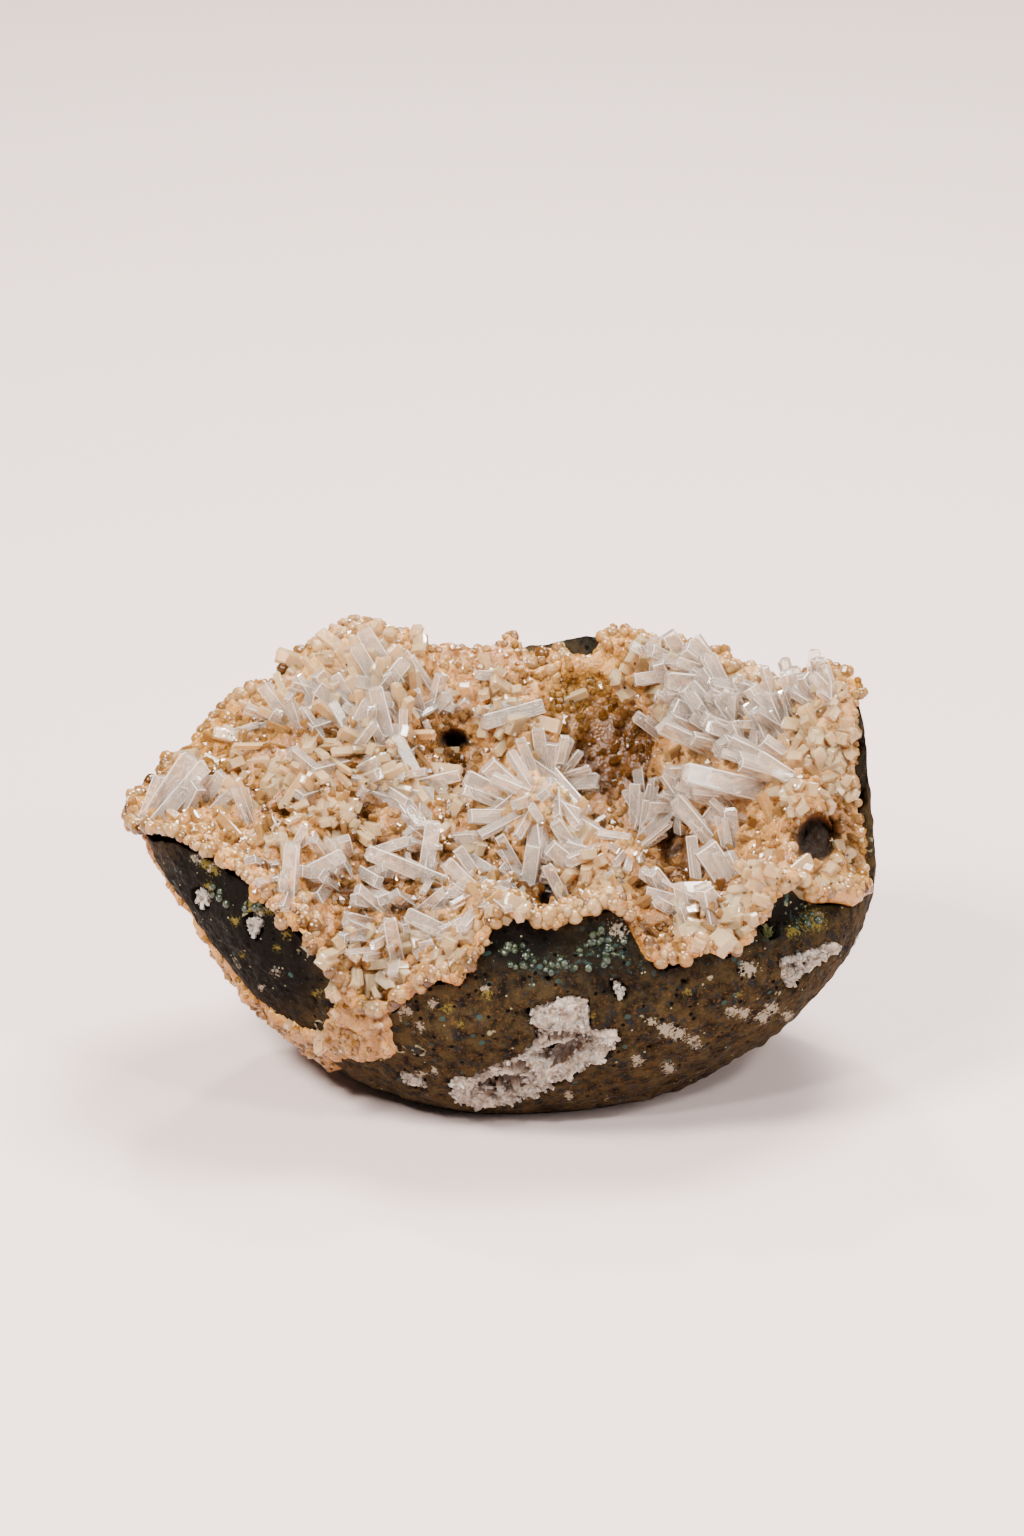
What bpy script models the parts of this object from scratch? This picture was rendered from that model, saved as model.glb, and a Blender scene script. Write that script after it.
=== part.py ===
"""Heulandite with calcite: a basalt stone with a hollow on top, lined by a crust of crystals.

The stone stands with +Z up and the low front of its hollow towards -Y. Its middle axis is X = Y = 0
and its foot is Z = 0. Lengths are in millimetres until a mesh is made, and azimuths are in degrees,
from 0 at +X (right) through 90 at +Y (back) and 180 at -X (left) to 270 at -Y (front).

Places on the front and in the hollow are given as they are seen from the front, from SIGHT_TILT
above level: across is X, and up is measured square to the line of sight, 0 at the middle of the foot.
"""

import math

import bmesh
import bpy
import numpy as np
from mathutils import Matrix, Vector, noise

MM = 0.001
GAP = 0.3
MERGE_DISTANCE = 0.00001
SIGHT_TILT = math.radians(22.0)
SIGHT_COS = math.cos(SIGHT_TILT)
SIGHT_SIN = math.sin(SIGHT_TILT)
SIGHT_LENGTH = 45.0
SIGHT_STEP = 0.8

# Outer face of the basalt: (height, distance from the middle axis) on its four sides
REACH_RIGHT = ((0, 24), (2, 29), (5, 33.5), (10, 39.5), (15, 44), (20, 47.3), (25, 49.2),
               (30, 49.8), (36, 49.2), (42, 48.6), (54, 48.4))
REACH_BACK = ((0, 18), (2, 21.5), (5, 25), (10, 29.3), (15, 32.2), (20, 34), (27, 35),
              (35, 35), (42, 34.2), (50, 33))
REACH_LEFT = ((0, 20), (2, 23.6), (5, 27.7), (10, 33), (15, 36.8), (20, 40), (25, 43.3),
              (30, 46.2), (36, 48.4), (45, 49.5))
REACH_FRONT = ((0, 18), (2, 21.5), (5, 25), (10, 29), (15, 32), (20, 33.9), (25, 34.6),
               (30, 34.2), (36, 33.2))
# How square the outline is in plan: 2 is an ellipse, more is squarer
PLAN_POWER = ((45, 2.4), (135, 2.0), (225, 1.75), (315, 2.3))

# Height of the basalt's rim, where the dark stone ends and the crust begins
RIM = ((7, 49.5), (18, 49), (27, 46), (36, 44), (49, 46.5), (60, 47), (69, 48.8), (77, 47.5),
       (86, 46.5), (94, 43.8), (103, 43), (113, 46), (121, 48.5), (132, 46.5), (140, 42.3),
       (149, 40), (157, 36.8), (165, 34.5), (178, 34), (186, 34.4), (197, 37), (212, 35),
       (219, 31.5), (229, 26), (238, 18.5), (243, 19.3), (254, 24.8), (261, 26), (266, 30),
       (272, 34.8), (280, 32.3), (288, 33.4), (297, 34.3), (303, 26.6), (307, 27), (311, 28.8),
       (315, 27.3), (324, 31.5), (331, 33.8), (338, 30), (354, 28), (360, 41))
# Height that the crust stands above that rim, and how far it hangs out over the outer face
LIP_HEIGHT = ((0, 1.2), (20, 1.6), (35, 2.2), (58, 2.6), (66, -1.2), (84, -1.0), (92, 2.4),
              (120, 3.2), (150, 2.6), (200, 2.4), (340, 2.6), (352, 2.2))
LIP_REACH = ((0, -1.4), (25, -1.2), (40, 0.2), (60, 0.2), (66, -3.0), (84, -3.0), (90, 0.2),
             (140, 0.4), (155, 1.6), (178, 1.95), (200, 1.0), (345, 0.9), (353, -0.6))

# The shelf under the front lip, cut back above a ledge
LEDGE_HEIGHT = 28.2
LEDGE_RISE = 2.0
LEDGE_DEPTH = 2.6
LEDGE_SPAN = ((258, 0), (266, 1), (338, 1), (350, 0))

# Hollow in the basalt, under the crust
HOLLOW_FLOOR = 16.0
HOLLOW_POWER = 2.2

# Crust that runs down the outside of the stone, on its left: its top and bottom edge
SKIRT_THICKNESS = 1.25
SKIRT_FADE = 1.5
SKIRT_TOP = ((150, 99), (183, 99), (186, 31), (190, 24), (196, 20.5), (206, 15.5), (218, 15),
             (226, 17.5), (231, 23), (234, 99), (250, 99))
SKIRT_BOTTOM = ((140, 60), (150, 30), (156, 9), (175, 4), (208, 4), (216, 6.5), (224, 9.5),
                (238, 10.5), (243, 12), (246, 60))

# Surface of the crust inside the hollow: (x, y, height)
SPOTS = (
    (-42, -4, 38.5), (-38, -13, 37.5), (-30, -19, 35), (-25, -12, 36), (-24, -23, 30.5),
    (-17, -22, 27), (-14, -27, 23.5), (-16, -12, 31.5), (-8, -22, 28.5), (-6, -12, 31),
    (-32, 0, 40), (-36, 9, 41), (-26, 8, 43), (-20, 4, 40.5), (-24, 18, 48.5), (-19, 25, 52.5),
    (-33, 17, 44), (-38, 16, 41.5), (-42, 10, 39), (-45, 4, 37.5), (-29, 22, 46.5),
    (-12, 22, 50), (-10, 10, 41), (-5, 15, 35.5), (-5, 21, 45), (-15, -2, 36.5), (-1, 8, 36),
    (6, -3, 42.3), (-2, -3, 35.5), (13, -2, 34), (6, 5, 36), (6, -10, 33.5), (16, -13, 37.8),
    (22, -12, 31), (11, -14, 34), (16, -20, 34), (-2, -20, 34), (-8, -18, 30), (5, -20, 30),
    (2, -28, 35.5), (12, -27, 35), (20, -26, 33.5), (27, -25, 33), (34, -21, 35.3),
    (13, 12, 29), (15, 26, 42), (12, 20, 31), (22, 2, 26.5), (24, 9, 28.5), (20, 18, 32.5),
    (0, 27, 48.3), (8, 28, 46.5), (4, 21, 42), (5, 13, 36), (24, 27, 50), (31, 22, 49.5),
    (25, 18, 42), (36, 20, 45.5), (32, 12, 40.5), (40, 12, 47.5), (45, 9, 50), (32, 2, 34),
    (38, 2, 41), (44, 0, 46), (44, -8, 41.5), (37, -8, 37.5), (30, -8, 30.5), (42, -14, 36),
    (36, -17, 35.5), (28, -17, 32.5),
)
LUMP_SIZES = ((6.5, 1.1), (3.3, 0.8))
STONE_LUMPS = ((14.0, 0.7), (6.0, 0.35))

# Holes that run into the crust: place as seen from the front, radii and depth below the surface
CRUST_HOLES = ((42.4, 30.2, 2.7, 3.4, 5.5), (-6.5, 43.4, 2.2, 1.2, 4.0), (6.0, 22.0, 1.1, 2.6, 3.5),
               (24.0, 28.6, 2.6, 3.0, 1.5))
HOLE_LENGTH = 9.0

# Calcite blades, by cluster: (lean towards the front, in degrees), then for each blade where its
# foot is seen (across, up), the way it points (0 is right, 90 is up), its length and its width
BLADES = (
    ("left rim", 15, ((-45.5, 33, 50, 9, 2.2), (-46, 34.5, 57, 8, 2.8), (-40, 35, 54, 5, 1.8),
                      (-38.5, 34, 45, 4, 1.4), (-34, 32.5, 110, 5, 1.4), (-36.5, 44, 13, 5.5, 1.5))),
    ("left back", 10, ((-29.5, 47, 128, 4.5, 1.6), (-16, 50, 122, 7, 1.9), (-15, 52, 122, 7, 2.3),
                       (-16, 50.5, 50, 4.5, 1.9), (-10.5, 51, 126, 5, 2.0), (-15, 42.5, 104, 8, 2.0),
                       (-12, 39.5, 117, 5, 1.7), (-20, 44, 64, 5, 2.0), (-21, 47.5, 143, 5, 2.0),
                       (-14.5, 41, 186, 4, 1.4), (-10.5, 37.5, 14, 5, 1.7), (-17, 37, -13, 6.5, 1.8),
                       (-9.5, 48, 205, 4.5, 1.5))),
    ("back", 30, ((-0.5, 52, 178, 3.5, 1.4), (2, 48, 190, 6, 1.5), (4, 47.5, 196, 7.5, 2.0))),
    ("spray", 20, ((5.5, 40, 98, 5, 1.7), (4, 39.5, 112, 4.5, 1.4), (7.5, 40, 67, 4, 1.7),
                   (6.3, 39.5, 87, 3.5, 2.2), (6, 38.5, 145, 5, 1.8), (2, 36.5, 138, 5.5, 2.6),
                   (9, 37.5, 37, 3.5, 1.4), (9, 37.5, 6, 4, 2.0), (1, 35.5, 153, 6.5, 2.1),
                   (-1, 35, 158, 5, 1.5), (0, 33, 178, 5, 2.0), (7.5, 38, -48, 6.5, 2.0))),
    ("low", 20, ((1.3, 27.5, 119, 3.5, 1.5), (3.5, 23.7, 82, 6, 1.9), (8, 22.5, 117, 5, 1.5),
                 (9, 27, 142, 3.5, 2.2), (9.8, 28.5, 124, 5, 2.0), (-3.5, 23.5, 135, 5.5, 1.5),
                 (-4, 26, 124, 3.5, 1.5))),
    ("right back", 25, ((21.7, 52, 188, 4, 1.7), (27, 51, 175, 5.5, 2.4), (20.8, 52.5, 90, 5, 1.7),
                        (24.4, 54.5, 121, 4, 2.0))),
    ("right", 25, ((28.3, 42, 155, 9, 2.0), (21, 44.5, 144, 4, 1.8), (32, 43, 145, 5.5, 1.6),
                   (34, 36.5, 166, 10.5, 3.0), (26.7, 46, 153, 4.5, 2.6), (31.7, 46, 125, 4.5, 2.6),
                   (36, 44, 113, 4.5, 2.4), (39, 49, 106, 4, 1.7), (40.6, 49, 98, 3.5, 1.5))),
    ("pit", 10, ((18, 33, 90, 4.5, 1.5), (19, 32.5, 73, 5, 1.7), (20, 31, 46, 5.5, 1.7),
                 (28, 30, 130, 7, 2.0), (31, 29.5, 96, 4.5, 2.0), (26, 24.5, 96, 6, 1.5),
                 (30, 24.5, 123, 5.5, 3.2), (25, 21.5, 165, 6, 1.5), (29, 21, 132, 4, 2.3))),
    ("valley", 15, ((-28.3, 23, 86, 7, 2.0), (-26, 25.5, 27, 5.5, 1.9), (-20, 31, -87, 7.5, 2.0),
                    (-9.5, 25, 158, 9.5, 2.1), (-15.5, 25.5, -104, 8, 2.0), (-10, 27, 81, 5.5, 2.0),
                    (-5.5, 23.5, 225, 5, 1.7), (-8.5, 18, 153, 4.5, 2.2), (-14.2, 15, 100, 5, 2.0))),
)
BLADE_ROOT = 1.6
BLADE_THICKNESS = 0.75
BLADE_TIP = 0.16
BLADE_ROLL = 35.0

# Mineral fillings of the stone's larger bubbles: outline as seen from the front, depth of the pocket
# and hollows, each with its place, radii and the turn of its long side
FILLINGS = {
    "front_vug_lining": {
        "outline": ((3.1, 7.5), (9.4, 9.3), (11.5, 9.0), (11.9, 4.9), (15.6, 4.8), (15.2, 2.6),
                    (13.2, 0.6), (9.6, -1.3), (5.0, -3.6), (1.0, -5.2), (-3.2, -6.0), (-6.6, -4.6),
                    (-7.0, -1.8), (-4.0, -1.4), (-0.2, 0.4), (2.6, 1.6), (4.6, 3.6), (4.4, 5.6)),
        "depth": 4.2,
        "hollows": ((6.9, 2.2, 2.3, 1.3, 35), (-0.2, -1.9, 3.0, 1.2, 25)),
    },
    "right_vug_lining": {
        "outline": ((37.0, 14.2), (40.5, 15.2), (44.4, 16.6), (45.4, 15.6), (43.0, 13.6),
                    (40.6, 12.2), (38.4, 9.9), (37.2, 11.6)),
        "depth": 3.0,
        "hollows": ((40.4, 13.8, 1.2, 0.6, 30),),
    },
    "left_vug_lining": {
        "outline": ((-41.2, 23.4), (-39.8, 23.8), (-38.8, 22.6), (-39.2, 20.8), (-40.4, 20.6),
                    (-41.3, 21.8)),
        "depth": 1.8,
        "hollows": (),
    },
    "shoulder_vug_lining": {
        "outline": ((-34.2, 20.0), (-33.0, 20.4), (-31.6, 19.2), (-31.8, 18.0), (-32.8, 16.6),
                    (-33.8, 17.0), (-34.2, 18.4)),
        "depth": 2.0,
        "hollows": (),
    },
    "low_vug_lining": {
        "outline": ((-14.2, -1.0), (-12.4, -0.8), (-10.4, -1.8), (-9.8, -3.4), (-11.6, -3.2),
                    (-13.4, -2.2)),
        "depth": 2.0,
        "hollows": (),
    },
    "green_filling": {
        "outline": ((34.2, 18.9), (35.2, 19.5), (36.4, 18.8), (36.9, 17.4), (35.8, 16.9),
                    (34.6, 17.6)),
        "depth": 2.0,
        "hollows": (),
    },
    "top_patch_lining": {
        "outline": ((14.4, 11.6), (15.6, 11.2), (16.8, 10.2), (16.4, 8.6), (15.4, 9.0),
                    (14.6, 10.2)),
        "depth": 1.8,
        "hollows": (),
    },
}
FILLING_PROUD = 0.35
# The sliver on the right edge: (azimuth, height) of its middle, radii along and across, and turn
EDGE_VUG = {"azimuth": 352.0, "height": 21.5, "long": 4.2, "short": 1.5, "turn": 55.0, "depth": 2.2}

# Meshes: segments round the stone, rings in its parts
SEGMENTS = 52
# The crust's edges lie between the stone's, so that none of them run along each other
CRUST_TURN = 180 / SEGMENTS
FOOT_SHARES = (1.0, 0.55)
WALL_SHARES = (1.0, 0.95, 0.89, 0.82, 0.72, 0.6, 0.47, 0.34, 0.21, 0.11, 0.04)
HOLLOW_SHARES = (0.0, 0.3, 0.54, 0.74, 0.89)
TOP_SHARES = (0.0, 0.09, 0.17, 0.25, 0.33, 0.41, 0.48, 0.55, 0.62, 0.69, 0.75, 0.81, 0.87, 0.93,
              0.97, 1.0)
SKIRT_SHARES = (0.97, 0.87, 0.77, 0.67, 0.56, 0.45, 0.34, 0.23, 0.12)


def curve_at(points, where):
    """Value at where of a smooth curve through (place, value) points, level beyond its ends."""
    places = [p[0] for p in points]
    values = [p[1] for p in points]
    if where <= places[0]:
        return values[0]
    if where >= places[-1]:
        return values[-1]
    i = max(k for k in range(len(places) - 1) if places[k] <= where)
    span = places[i + 1] - places[i]
    t = (where - places[i]) / span
    rise = (values[i + 1] - values[i]) / span
    before = rise if i == 0 else (values[i] - values[i - 1]) / (places[i] - places[i - 1])
    after = rise
    if i + 2 < len(places):
        after = (values[i + 2] - values[i + 1]) / (places[i + 2] - places[i + 1])
    # A slope of nothing at each top and dip keeps the curve from running past its points
    start = 0.0 if before * rise <= 0 else 2 * before * rise / (before + rise)
    end = 0.0 if after * rise <= 0 else 2 * after * rise / (after + rise)
    a = values[i]
    b = values[i + 1]
    return (a * (1 + 2 * t) * (1 - t) ** 2 + b * t * t * (3 - 2 * t)
            + span * t * (1 - t) * (start * (1 - t) - end * t))


def round_curve(points, azimuth):
    """Value at an azimuth of a smooth closed curve through (azimuth, value) points."""
    first = [(p[0] + 360, p[1]) for p in points[:2]]
    last = [(p[0] - 360, p[1]) for p in points[-2:]]
    return curve_at(last + list(points) + first, azimuth % 360)


def smooth_step(x):
    """0 below 0, 1 above 1, and smooth between."""
    x = min(max(x, 0.0), 1.0)
    return x * x * (3 - 2 * x)


def lumps(point, sizes):
    """Sum of smooth random lumps, each (size, height), at a point."""
    return sum(height * noise.noise(Vector(point) / size) for size, height in sizes)


def rim_height(azimuth):
    """Height of the basalt's rim."""
    return round_curve(RIM, azimuth)


def reach(azimuth, height):
    """Distance from the middle axis to the basalt's outer face."""
    turn = math.radians(azimuth)
    c = math.cos(turn)
    s = math.sin(turn)
    side = curve_at(REACH_RIGHT if c > 0 else REACH_LEFT, height)
    depth = curve_at(REACH_BACK if s > 0 else REACH_FRONT, height)
    power = round_curve(PLAN_POWER, azimuth)
    plain = (abs(c / side) ** power + abs(s / depth) ** power) ** (-1 / power)
    cut = LEDGE_DEPTH * smooth_step((height - LEDGE_HEIGHT) / LEDGE_RISE)
    foot_fade = smooth_step(height / 6)
    rough = lumps((plain * c, plain * s, height), STONE_LUMPS) * foot_fade
    return plain - cut * curve_at(LEDGE_SPAN, azimuth % 360) + rough


def at(azimuth, distance, height):
    """The point at an azimuth, a distance from the middle axis and a height."""
    turn = math.radians(azimuth)
    return Vector((distance * math.cos(turn), distance * math.sin(turn), height))


def bending_plate(spots):
    """A function of x and y whose surface passes smoothly through (x, y, height) spots."""
    spots = np.array(spots, dtype=float)
    x, y, height = spots.T

    def stiffness(square):
        return np.where(square > 0, square * np.log(np.maximum(square, 1e-12)), 0.0)

    links = stiffness((x[:, None] - x) ** 2 + (y[:, None] - y) ** 2)
    flat = np.stack([np.ones(len(x)), x, y], axis=1)
    system = np.block([[links, flat], [flat.T, np.zeros((3, 3))]])
    weights = np.linalg.solve(system, np.concatenate([height, np.zeros(3)]))

    def height_at(px, py):
        pulls = stiffness((x - px) ** 2 + (y - py) ** 2)
        return float(pulls @ weights[:-3] + weights[-3:] @ (1.0, px, py))

    return height_at


def rim_spots():
    """Places on the crust's rim, to tie its inner surface to."""
    spots = []
    for azimuth in range(0, 360, 8):
        rim = rim_height(azimuth)
        place = at(azimuth, reach(azimuth, rim), rim + round_curve(LIP_HEIGHT, azimuth))
        spots.append(tuple(place))
    return spots


INNER_SURFACE = bending_plate(list(SPOTS) + rim_spots())
RIM_BLEND = 0.16


def crust_point(azimuth, share):
    """Point on the top of the crust, share of the way from the middle axis to its rim."""
    rim = rim_height(azimuth)
    edge = reach(azimuth, rim) + round_curve(LIP_REACH, azimuth)
    place = at(azimuth, edge * share, 0)
    tie = smooth_step((share - 1 + RIM_BLEND) / RIM_BLEND)
    lip = rim + round_curve(LIP_HEIGHT, azimuth)
    height = INNER_SURFACE(place.x, place.y) * (1 - tie) + lip * tie
    place.z = height + lumps((place.x, place.y, height), LUMP_SIZES) * (1 - 0.6 * tie)
    return place


def crust_height(x, y):
    """Height of the crust's top above x and y, or None outside its rim."""
    azimuth = math.degrees(math.atan2(y, x))
    edge = reach(azimuth, rim_height(azimuth)) + round_curve(LIP_REACH, azimuth)
    share = math.hypot(x, y) / edge
    return crust_point(azimuth, share).z if share < 1 else None


def skirt_offset(azimuth, height):
    """How far the crust's outer side stands off the basalt, negative where there is none."""
    low = height - span_curve(SKIRT_BOTTOM, azimuth)
    high = span_curve(SKIRT_TOP, azimuth) - height
    rise = min(low, high) / SKIRT_FADE
    return min(max(rise, -1.2), 1.0) * SKIRT_THICKNESS


def span_curve(points, azimuth):
    """Value of a smooth curve between its first and last azimuth, and its first value elsewhere."""
    azimuth %= 360
    if points[0][0] <= azimuth <= points[-1][0]:
        return curve_at(points, azimuth)
    return points[0][1]


def basalt_rings(swell=0.0):
    """Functions of the azimuth, one for each ring from the floor of the hollow to the foot."""
    rings = []
    for share in HOLLOW_SHARES:
        def hollow(azimuth, share=share):
            rim = rim_height(azimuth)
            height = HOLLOW_FLOOR + (rim - HOLLOW_FLOOR) * share ** HOLLOW_POWER
            return at(azimuth, reach(azimuth, rim) * share, height + 2 * swell)
        rings.append(hollow)
    for share in WALL_SHARES:
        def wall(azimuth, share=share):
            height = rim_height(azimuth) * share
            # The rim's inner side is steep, so it has to rise more to stay clear of its first place
            lift = 3 * swell if share == 1.0 else 0.0
            return at(azimuth, reach(azimuth, height) + swell, height + lift)
        rings.append(wall)
    for share in FOOT_SHARES:
        def foot(azimuth, share=share):
            return at(azimuth, (reach(azimuth, 0) + swell) * share, -swell)
        rings.append(foot)
    rings.append(lambda azimuth: Vector((0, 0, -swell)))
    return rings


def crust_rings():
    """Functions of the azimuth, one for each ring of the crust before the basalt is cut from it."""
    rings = [lambda azimuth, share=share: crust_point(azimuth, share) for share in TOP_SHARES]

    def side(azimuth):
        rim = rim_height(azimuth)
        height = rim + 0.25 * round_curve(LIP_HEIGHT, azimuth)
        return at(azimuth, reach(azimuth, rim) + round_curve(LIP_REACH, azimuth) + 0.25, height)

    rings.append(side)
    for share in SKIRT_SHARES:
        def skirt(azimuth, share=share):
            height = rim_height(azimuth) * share
            relief = lumps(at(azimuth, 40, height), LUMP_SIZES) * 0.5
            offset = skirt_offset(azimuth, height)
            offset += relief if offset > 0 else 0.0
            return at(azimuth, reach(azimuth, height) + offset, height)
        rings.append(skirt)
    rings.append(lambda azimuth: at(azimuth, reach(azimuth, 4) - 4, 4))
    rings.append(lambda azimuth: Vector((0, 0, 4)))
    return rings


def new_object(name, bm, collection, material=None):
    """Turn a bmesh in millimetres into an object in metres."""
    bmesh.ops.scale(bm, vec=(MM, MM, MM), verts=bm.verts)
    mesh = bpy.data.meshes.new(name)
    bm.to_mesh(mesh)
    bm.free()
    obj = bpy.data.objects.new(name, mesh)
    collection.objects.link(obj)
    if material:
        mesh.materials.append(material)
    return obj


def as_guide(obj):
    """Mark an object as a cutter, which isn't part of the model."""
    obj.hide_render = True
    obj.display_type = "WIRE"
    return obj


def ringed_ball(name, rings, collection, material=None, turn=0.0):
    """A ball whose rings, from its top pole to its bottom pole, are laid out by functions."""
    bm = bmesh.new()
    bmesh.ops.create_uvsphere(bm, u_segments=SEGMENTS, v_segments=len(rings) - 1, radius=1.0)
    for v in bm.verts:
        level = min(max(v.co.z, -1.0), 1.0)
        ring = round(math.acos(level) / math.pi * (len(rings) - 1))
        azimuth = math.degrees(math.atan2(v.co.y, v.co.x)) + turn
        v.co = rings[ring](azimuth)
    # The same diagonals in every ball, so that the stone and the ball that clears it fit
    bmesh.ops.triangulate(bm, faces=bm.faces, quad_method="FIXED")
    return new_object(name, bm, collection, material)


def combine(obj, other, operation):
    """Join to an object, or cut from it, another object or a collection of them."""
    modifier = obj.modifiers.new(other.name, "BOOLEAN")
    modifier.operation = operation
    modifier.solver = "EXACT"
    if isinstance(other, bpy.types.Collection):
        modifier.operand_type = "COLLECTION"
        modifier.collection = other
    else:
        modifier.object = other
    return modifier


def tidy_faces(obj):
    """Merge the points that a cut leaves almost in one place, and make every face a triangle."""
    weld = obj.modifiers.new("Weld", "WELD")
    weld.merge_threshold = MERGE_DISTANCE
    obj.modifiers.new("Triangulate", "TRIANGULATE")


def first_hit(across, up, surface_passed):
    """Point where the line of sight at (across, up) first passes a surface."""

    def on_line(y):
        return Vector((across, y, (up - y * SIGHT_SIN) / SIGHT_COS))

    y = -SIGHT_LENGTH
    while y < SIGHT_LENGTH and not surface_passed(*on_line(y)):
        y += SIGHT_STEP
    if y >= SIGHT_LENGTH:
        raise ValueError(f"no surface is seen at {across}, {up}")
    before = y - SIGHT_STEP
    for _ in range(8):
        middle = (before + y) / 2
        if surface_passed(*on_line(middle)):
            y = middle
        else:
            before = middle
    return on_line(y)


def in_stone(x, y, z):
    """Whether a point is inside the outer face of the basalt."""
    return z > 0 and math.hypot(x, y) < reach(math.degrees(math.atan2(y, x)), z)


def under_crust(x, y, z):
    """Whether a point is below the top of the crust."""
    top = crust_height(x, y)
    return top is not None and z < top


def sight_direction(clock, lean):
    """Direction of something seen pointing at a clock angle and leaning towards the eye."""
    turn = math.radians(clock)
    tilt = math.radians(lean)
    in_view = Vector((math.cos(turn), math.sin(turn) * SIGHT_SIN, math.sin(turn) * SIGHT_COS))
    to_eye = Vector((0, -SIGHT_COS, SIGHT_SIN))
    return in_view * math.cos(tilt) + to_eye * math.sin(tilt)


def facing(direction, place, roll=0.0):
    """Placement with its local Z along a direction and its local X level, then rolled."""
    z_axis = direction.normalized()
    to_eye = Vector((0, -SIGHT_COS, SIGHT_SIN))
    x_axis = to_eye.cross(z_axis)
    if x_axis.length < 0.01:
        x_axis = Vector((1, 0, 0))
    x_axis.normalize()
    turned = Matrix((x_axis, z_axis.cross(x_axis), z_axis)).transposed().to_4x4()
    return Matrix.Translation(place) @ turned @ Matrix.Rotation(math.radians(roll), 4, "Z")


def blade_mesh(length, width, roll, direction, place):
    """A four-sided blade with a bevelled end, its root set into the crust."""
    bm = bmesh.new()
    bmesh.ops.create_cube(bm, size=1.0)
    full = length + BLADE_ROOT
    bmesh.ops.translate(bm, vec=(0, 0, 0.5), verts=bm.verts)
    tip_height = BLADE_TIP * width
    bmesh.ops.scale(bm, vec=(width, width * BLADE_THICKNESS, full - tip_height), verts=bm.verts)
    bm.faces.ensure_lookup_table()
    end = max(bm.faces, key=lambda f: f.calc_center_median().z)
    bmesh.ops.inset_individual(bm, faces=[end], thickness=tip_height * 1.2, depth=tip_height)
    start = place - direction * BLADE_ROOT
    bmesh.ops.transform(bm, matrix=facing(direction, start, roll), verts=bm.verts)
    return bm


def build_blades(collection):
    """All the calcite blades, each where its foot is seen on the crust."""
    count = 0
    for cluster, lean, blades in BLADES:
        for across, up, clock, length, width in blades:
            foot = first_hit(across, up, under_crust)
            spread = noise.noise(foot / 4.3)
            direction = sight_direction(clock, lean + 20 * spread)
            roll = BLADE_ROLL * noise.noise(foot / 2.1 + Vector((9, 0, 0)))
            bm = blade_mesh(length, width, roll, direction, foot)
            name = f"blade_{cluster.replace(' ', '_')}_{count}"
            as_guide(new_object(name, bm, collection))
            count += 1


def build_hole(index, hole, collection):
    """A ball drawn out along the line of sight, for a hole that runs into the crust."""
    across, up, half_width, half_height, depth = hole
    mouth = first_hit(across, up, under_crust)
    into = Vector((0, SIGHT_COS, -SIGHT_SIN))
    bm = bmesh.new()
    bmesh.ops.create_icosphere(bm, subdivisions=2, radius=1.0)
    bmesh.ops.scale(bm, vec=(half_width, half_height, HOLE_LENGTH / 2), verts=bm.verts)
    middle = mouth + into * (depth - HOLE_LENGTH / 2)
    bmesh.ops.transform(bm, matrix=facing(into, middle), verts=bm.verts)
    return as_guide(new_object(f"crust_hole_{index}", bm, collection))


def outline_block(name, outline, depth, grow, collection):
    """A block with an outline seen on the front of the stone, sunk square to the face there."""
    corners = [first_hit(across, up, in_stone) for across, up in outline]
    middle = sum(corners, Vector()) / len(corners)
    normal = Vector()
    for a, b in zip(corners, corners[1:] + corners[:1]):
        normal += (a - middle).cross(b - middle)
    normal.normalize()
    if normal.y > 0:
        normal = -normal
    placement = facing(normal, middle)
    flat = [placement.inverted() @ c for c in corners]
    sink = depth + min(c.z for c in flat)
    curve = bpy.data.curves.new(name, "CURVE")
    curve.dimensions = "2D"
    curve.fill_mode = "BOTH"
    rise = max(c.z for c in flat) + 3.0
    curve.extrude = (rise + sink) / 2 * MM
    curve.offset = grow * MM
    spline = curve.splines.new("POLY")
    spline.points.add(len(flat) - 1)
    spline.use_cyclic_u = True
    for point, corner in zip(spline.points, flat):
        point.co = (corner.x * MM, corner.y * MM, 0, 1)
    guide = bpy.data.objects.new(name, curve)
    collection.objects.link(guide)
    lift = Matrix.Translation((0, 0, (rise - sink) / 2))
    placed = placement @ lift
    placed.translation *= MM
    guide.matrix_world = placed
    return mesh_from_curve(guide, collection), placement


def mesh_from_curve(guide, collection):
    """Turn a filled curve into a closed mesh object in the same place."""
    bpy.context.view_layer.update()
    evaluated = guide.evaluated_get(bpy.context.evaluated_depsgraph_get())
    mesh = bpy.data.meshes.new_from_object(evaluated)
    bm = bmesh.new()
    bm.from_mesh(mesh)
    bmesh.ops.remove_doubles(bm, verts=bm.verts, dist=1e-6)
    bmesh.ops.transform(bm, matrix=guide.matrix_world, verts=bm.verts)
    bmesh.ops.recalc_face_normals(bm, faces=bm.faces)
    bm.to_mesh(mesh)
    bm.free()
    name = guide.name
    bpy.data.objects.remove(guide)
    obj = bpy.data.objects.new(name, mesh)
    collection.objects.link(obj)
    return as_guide(obj)


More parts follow.
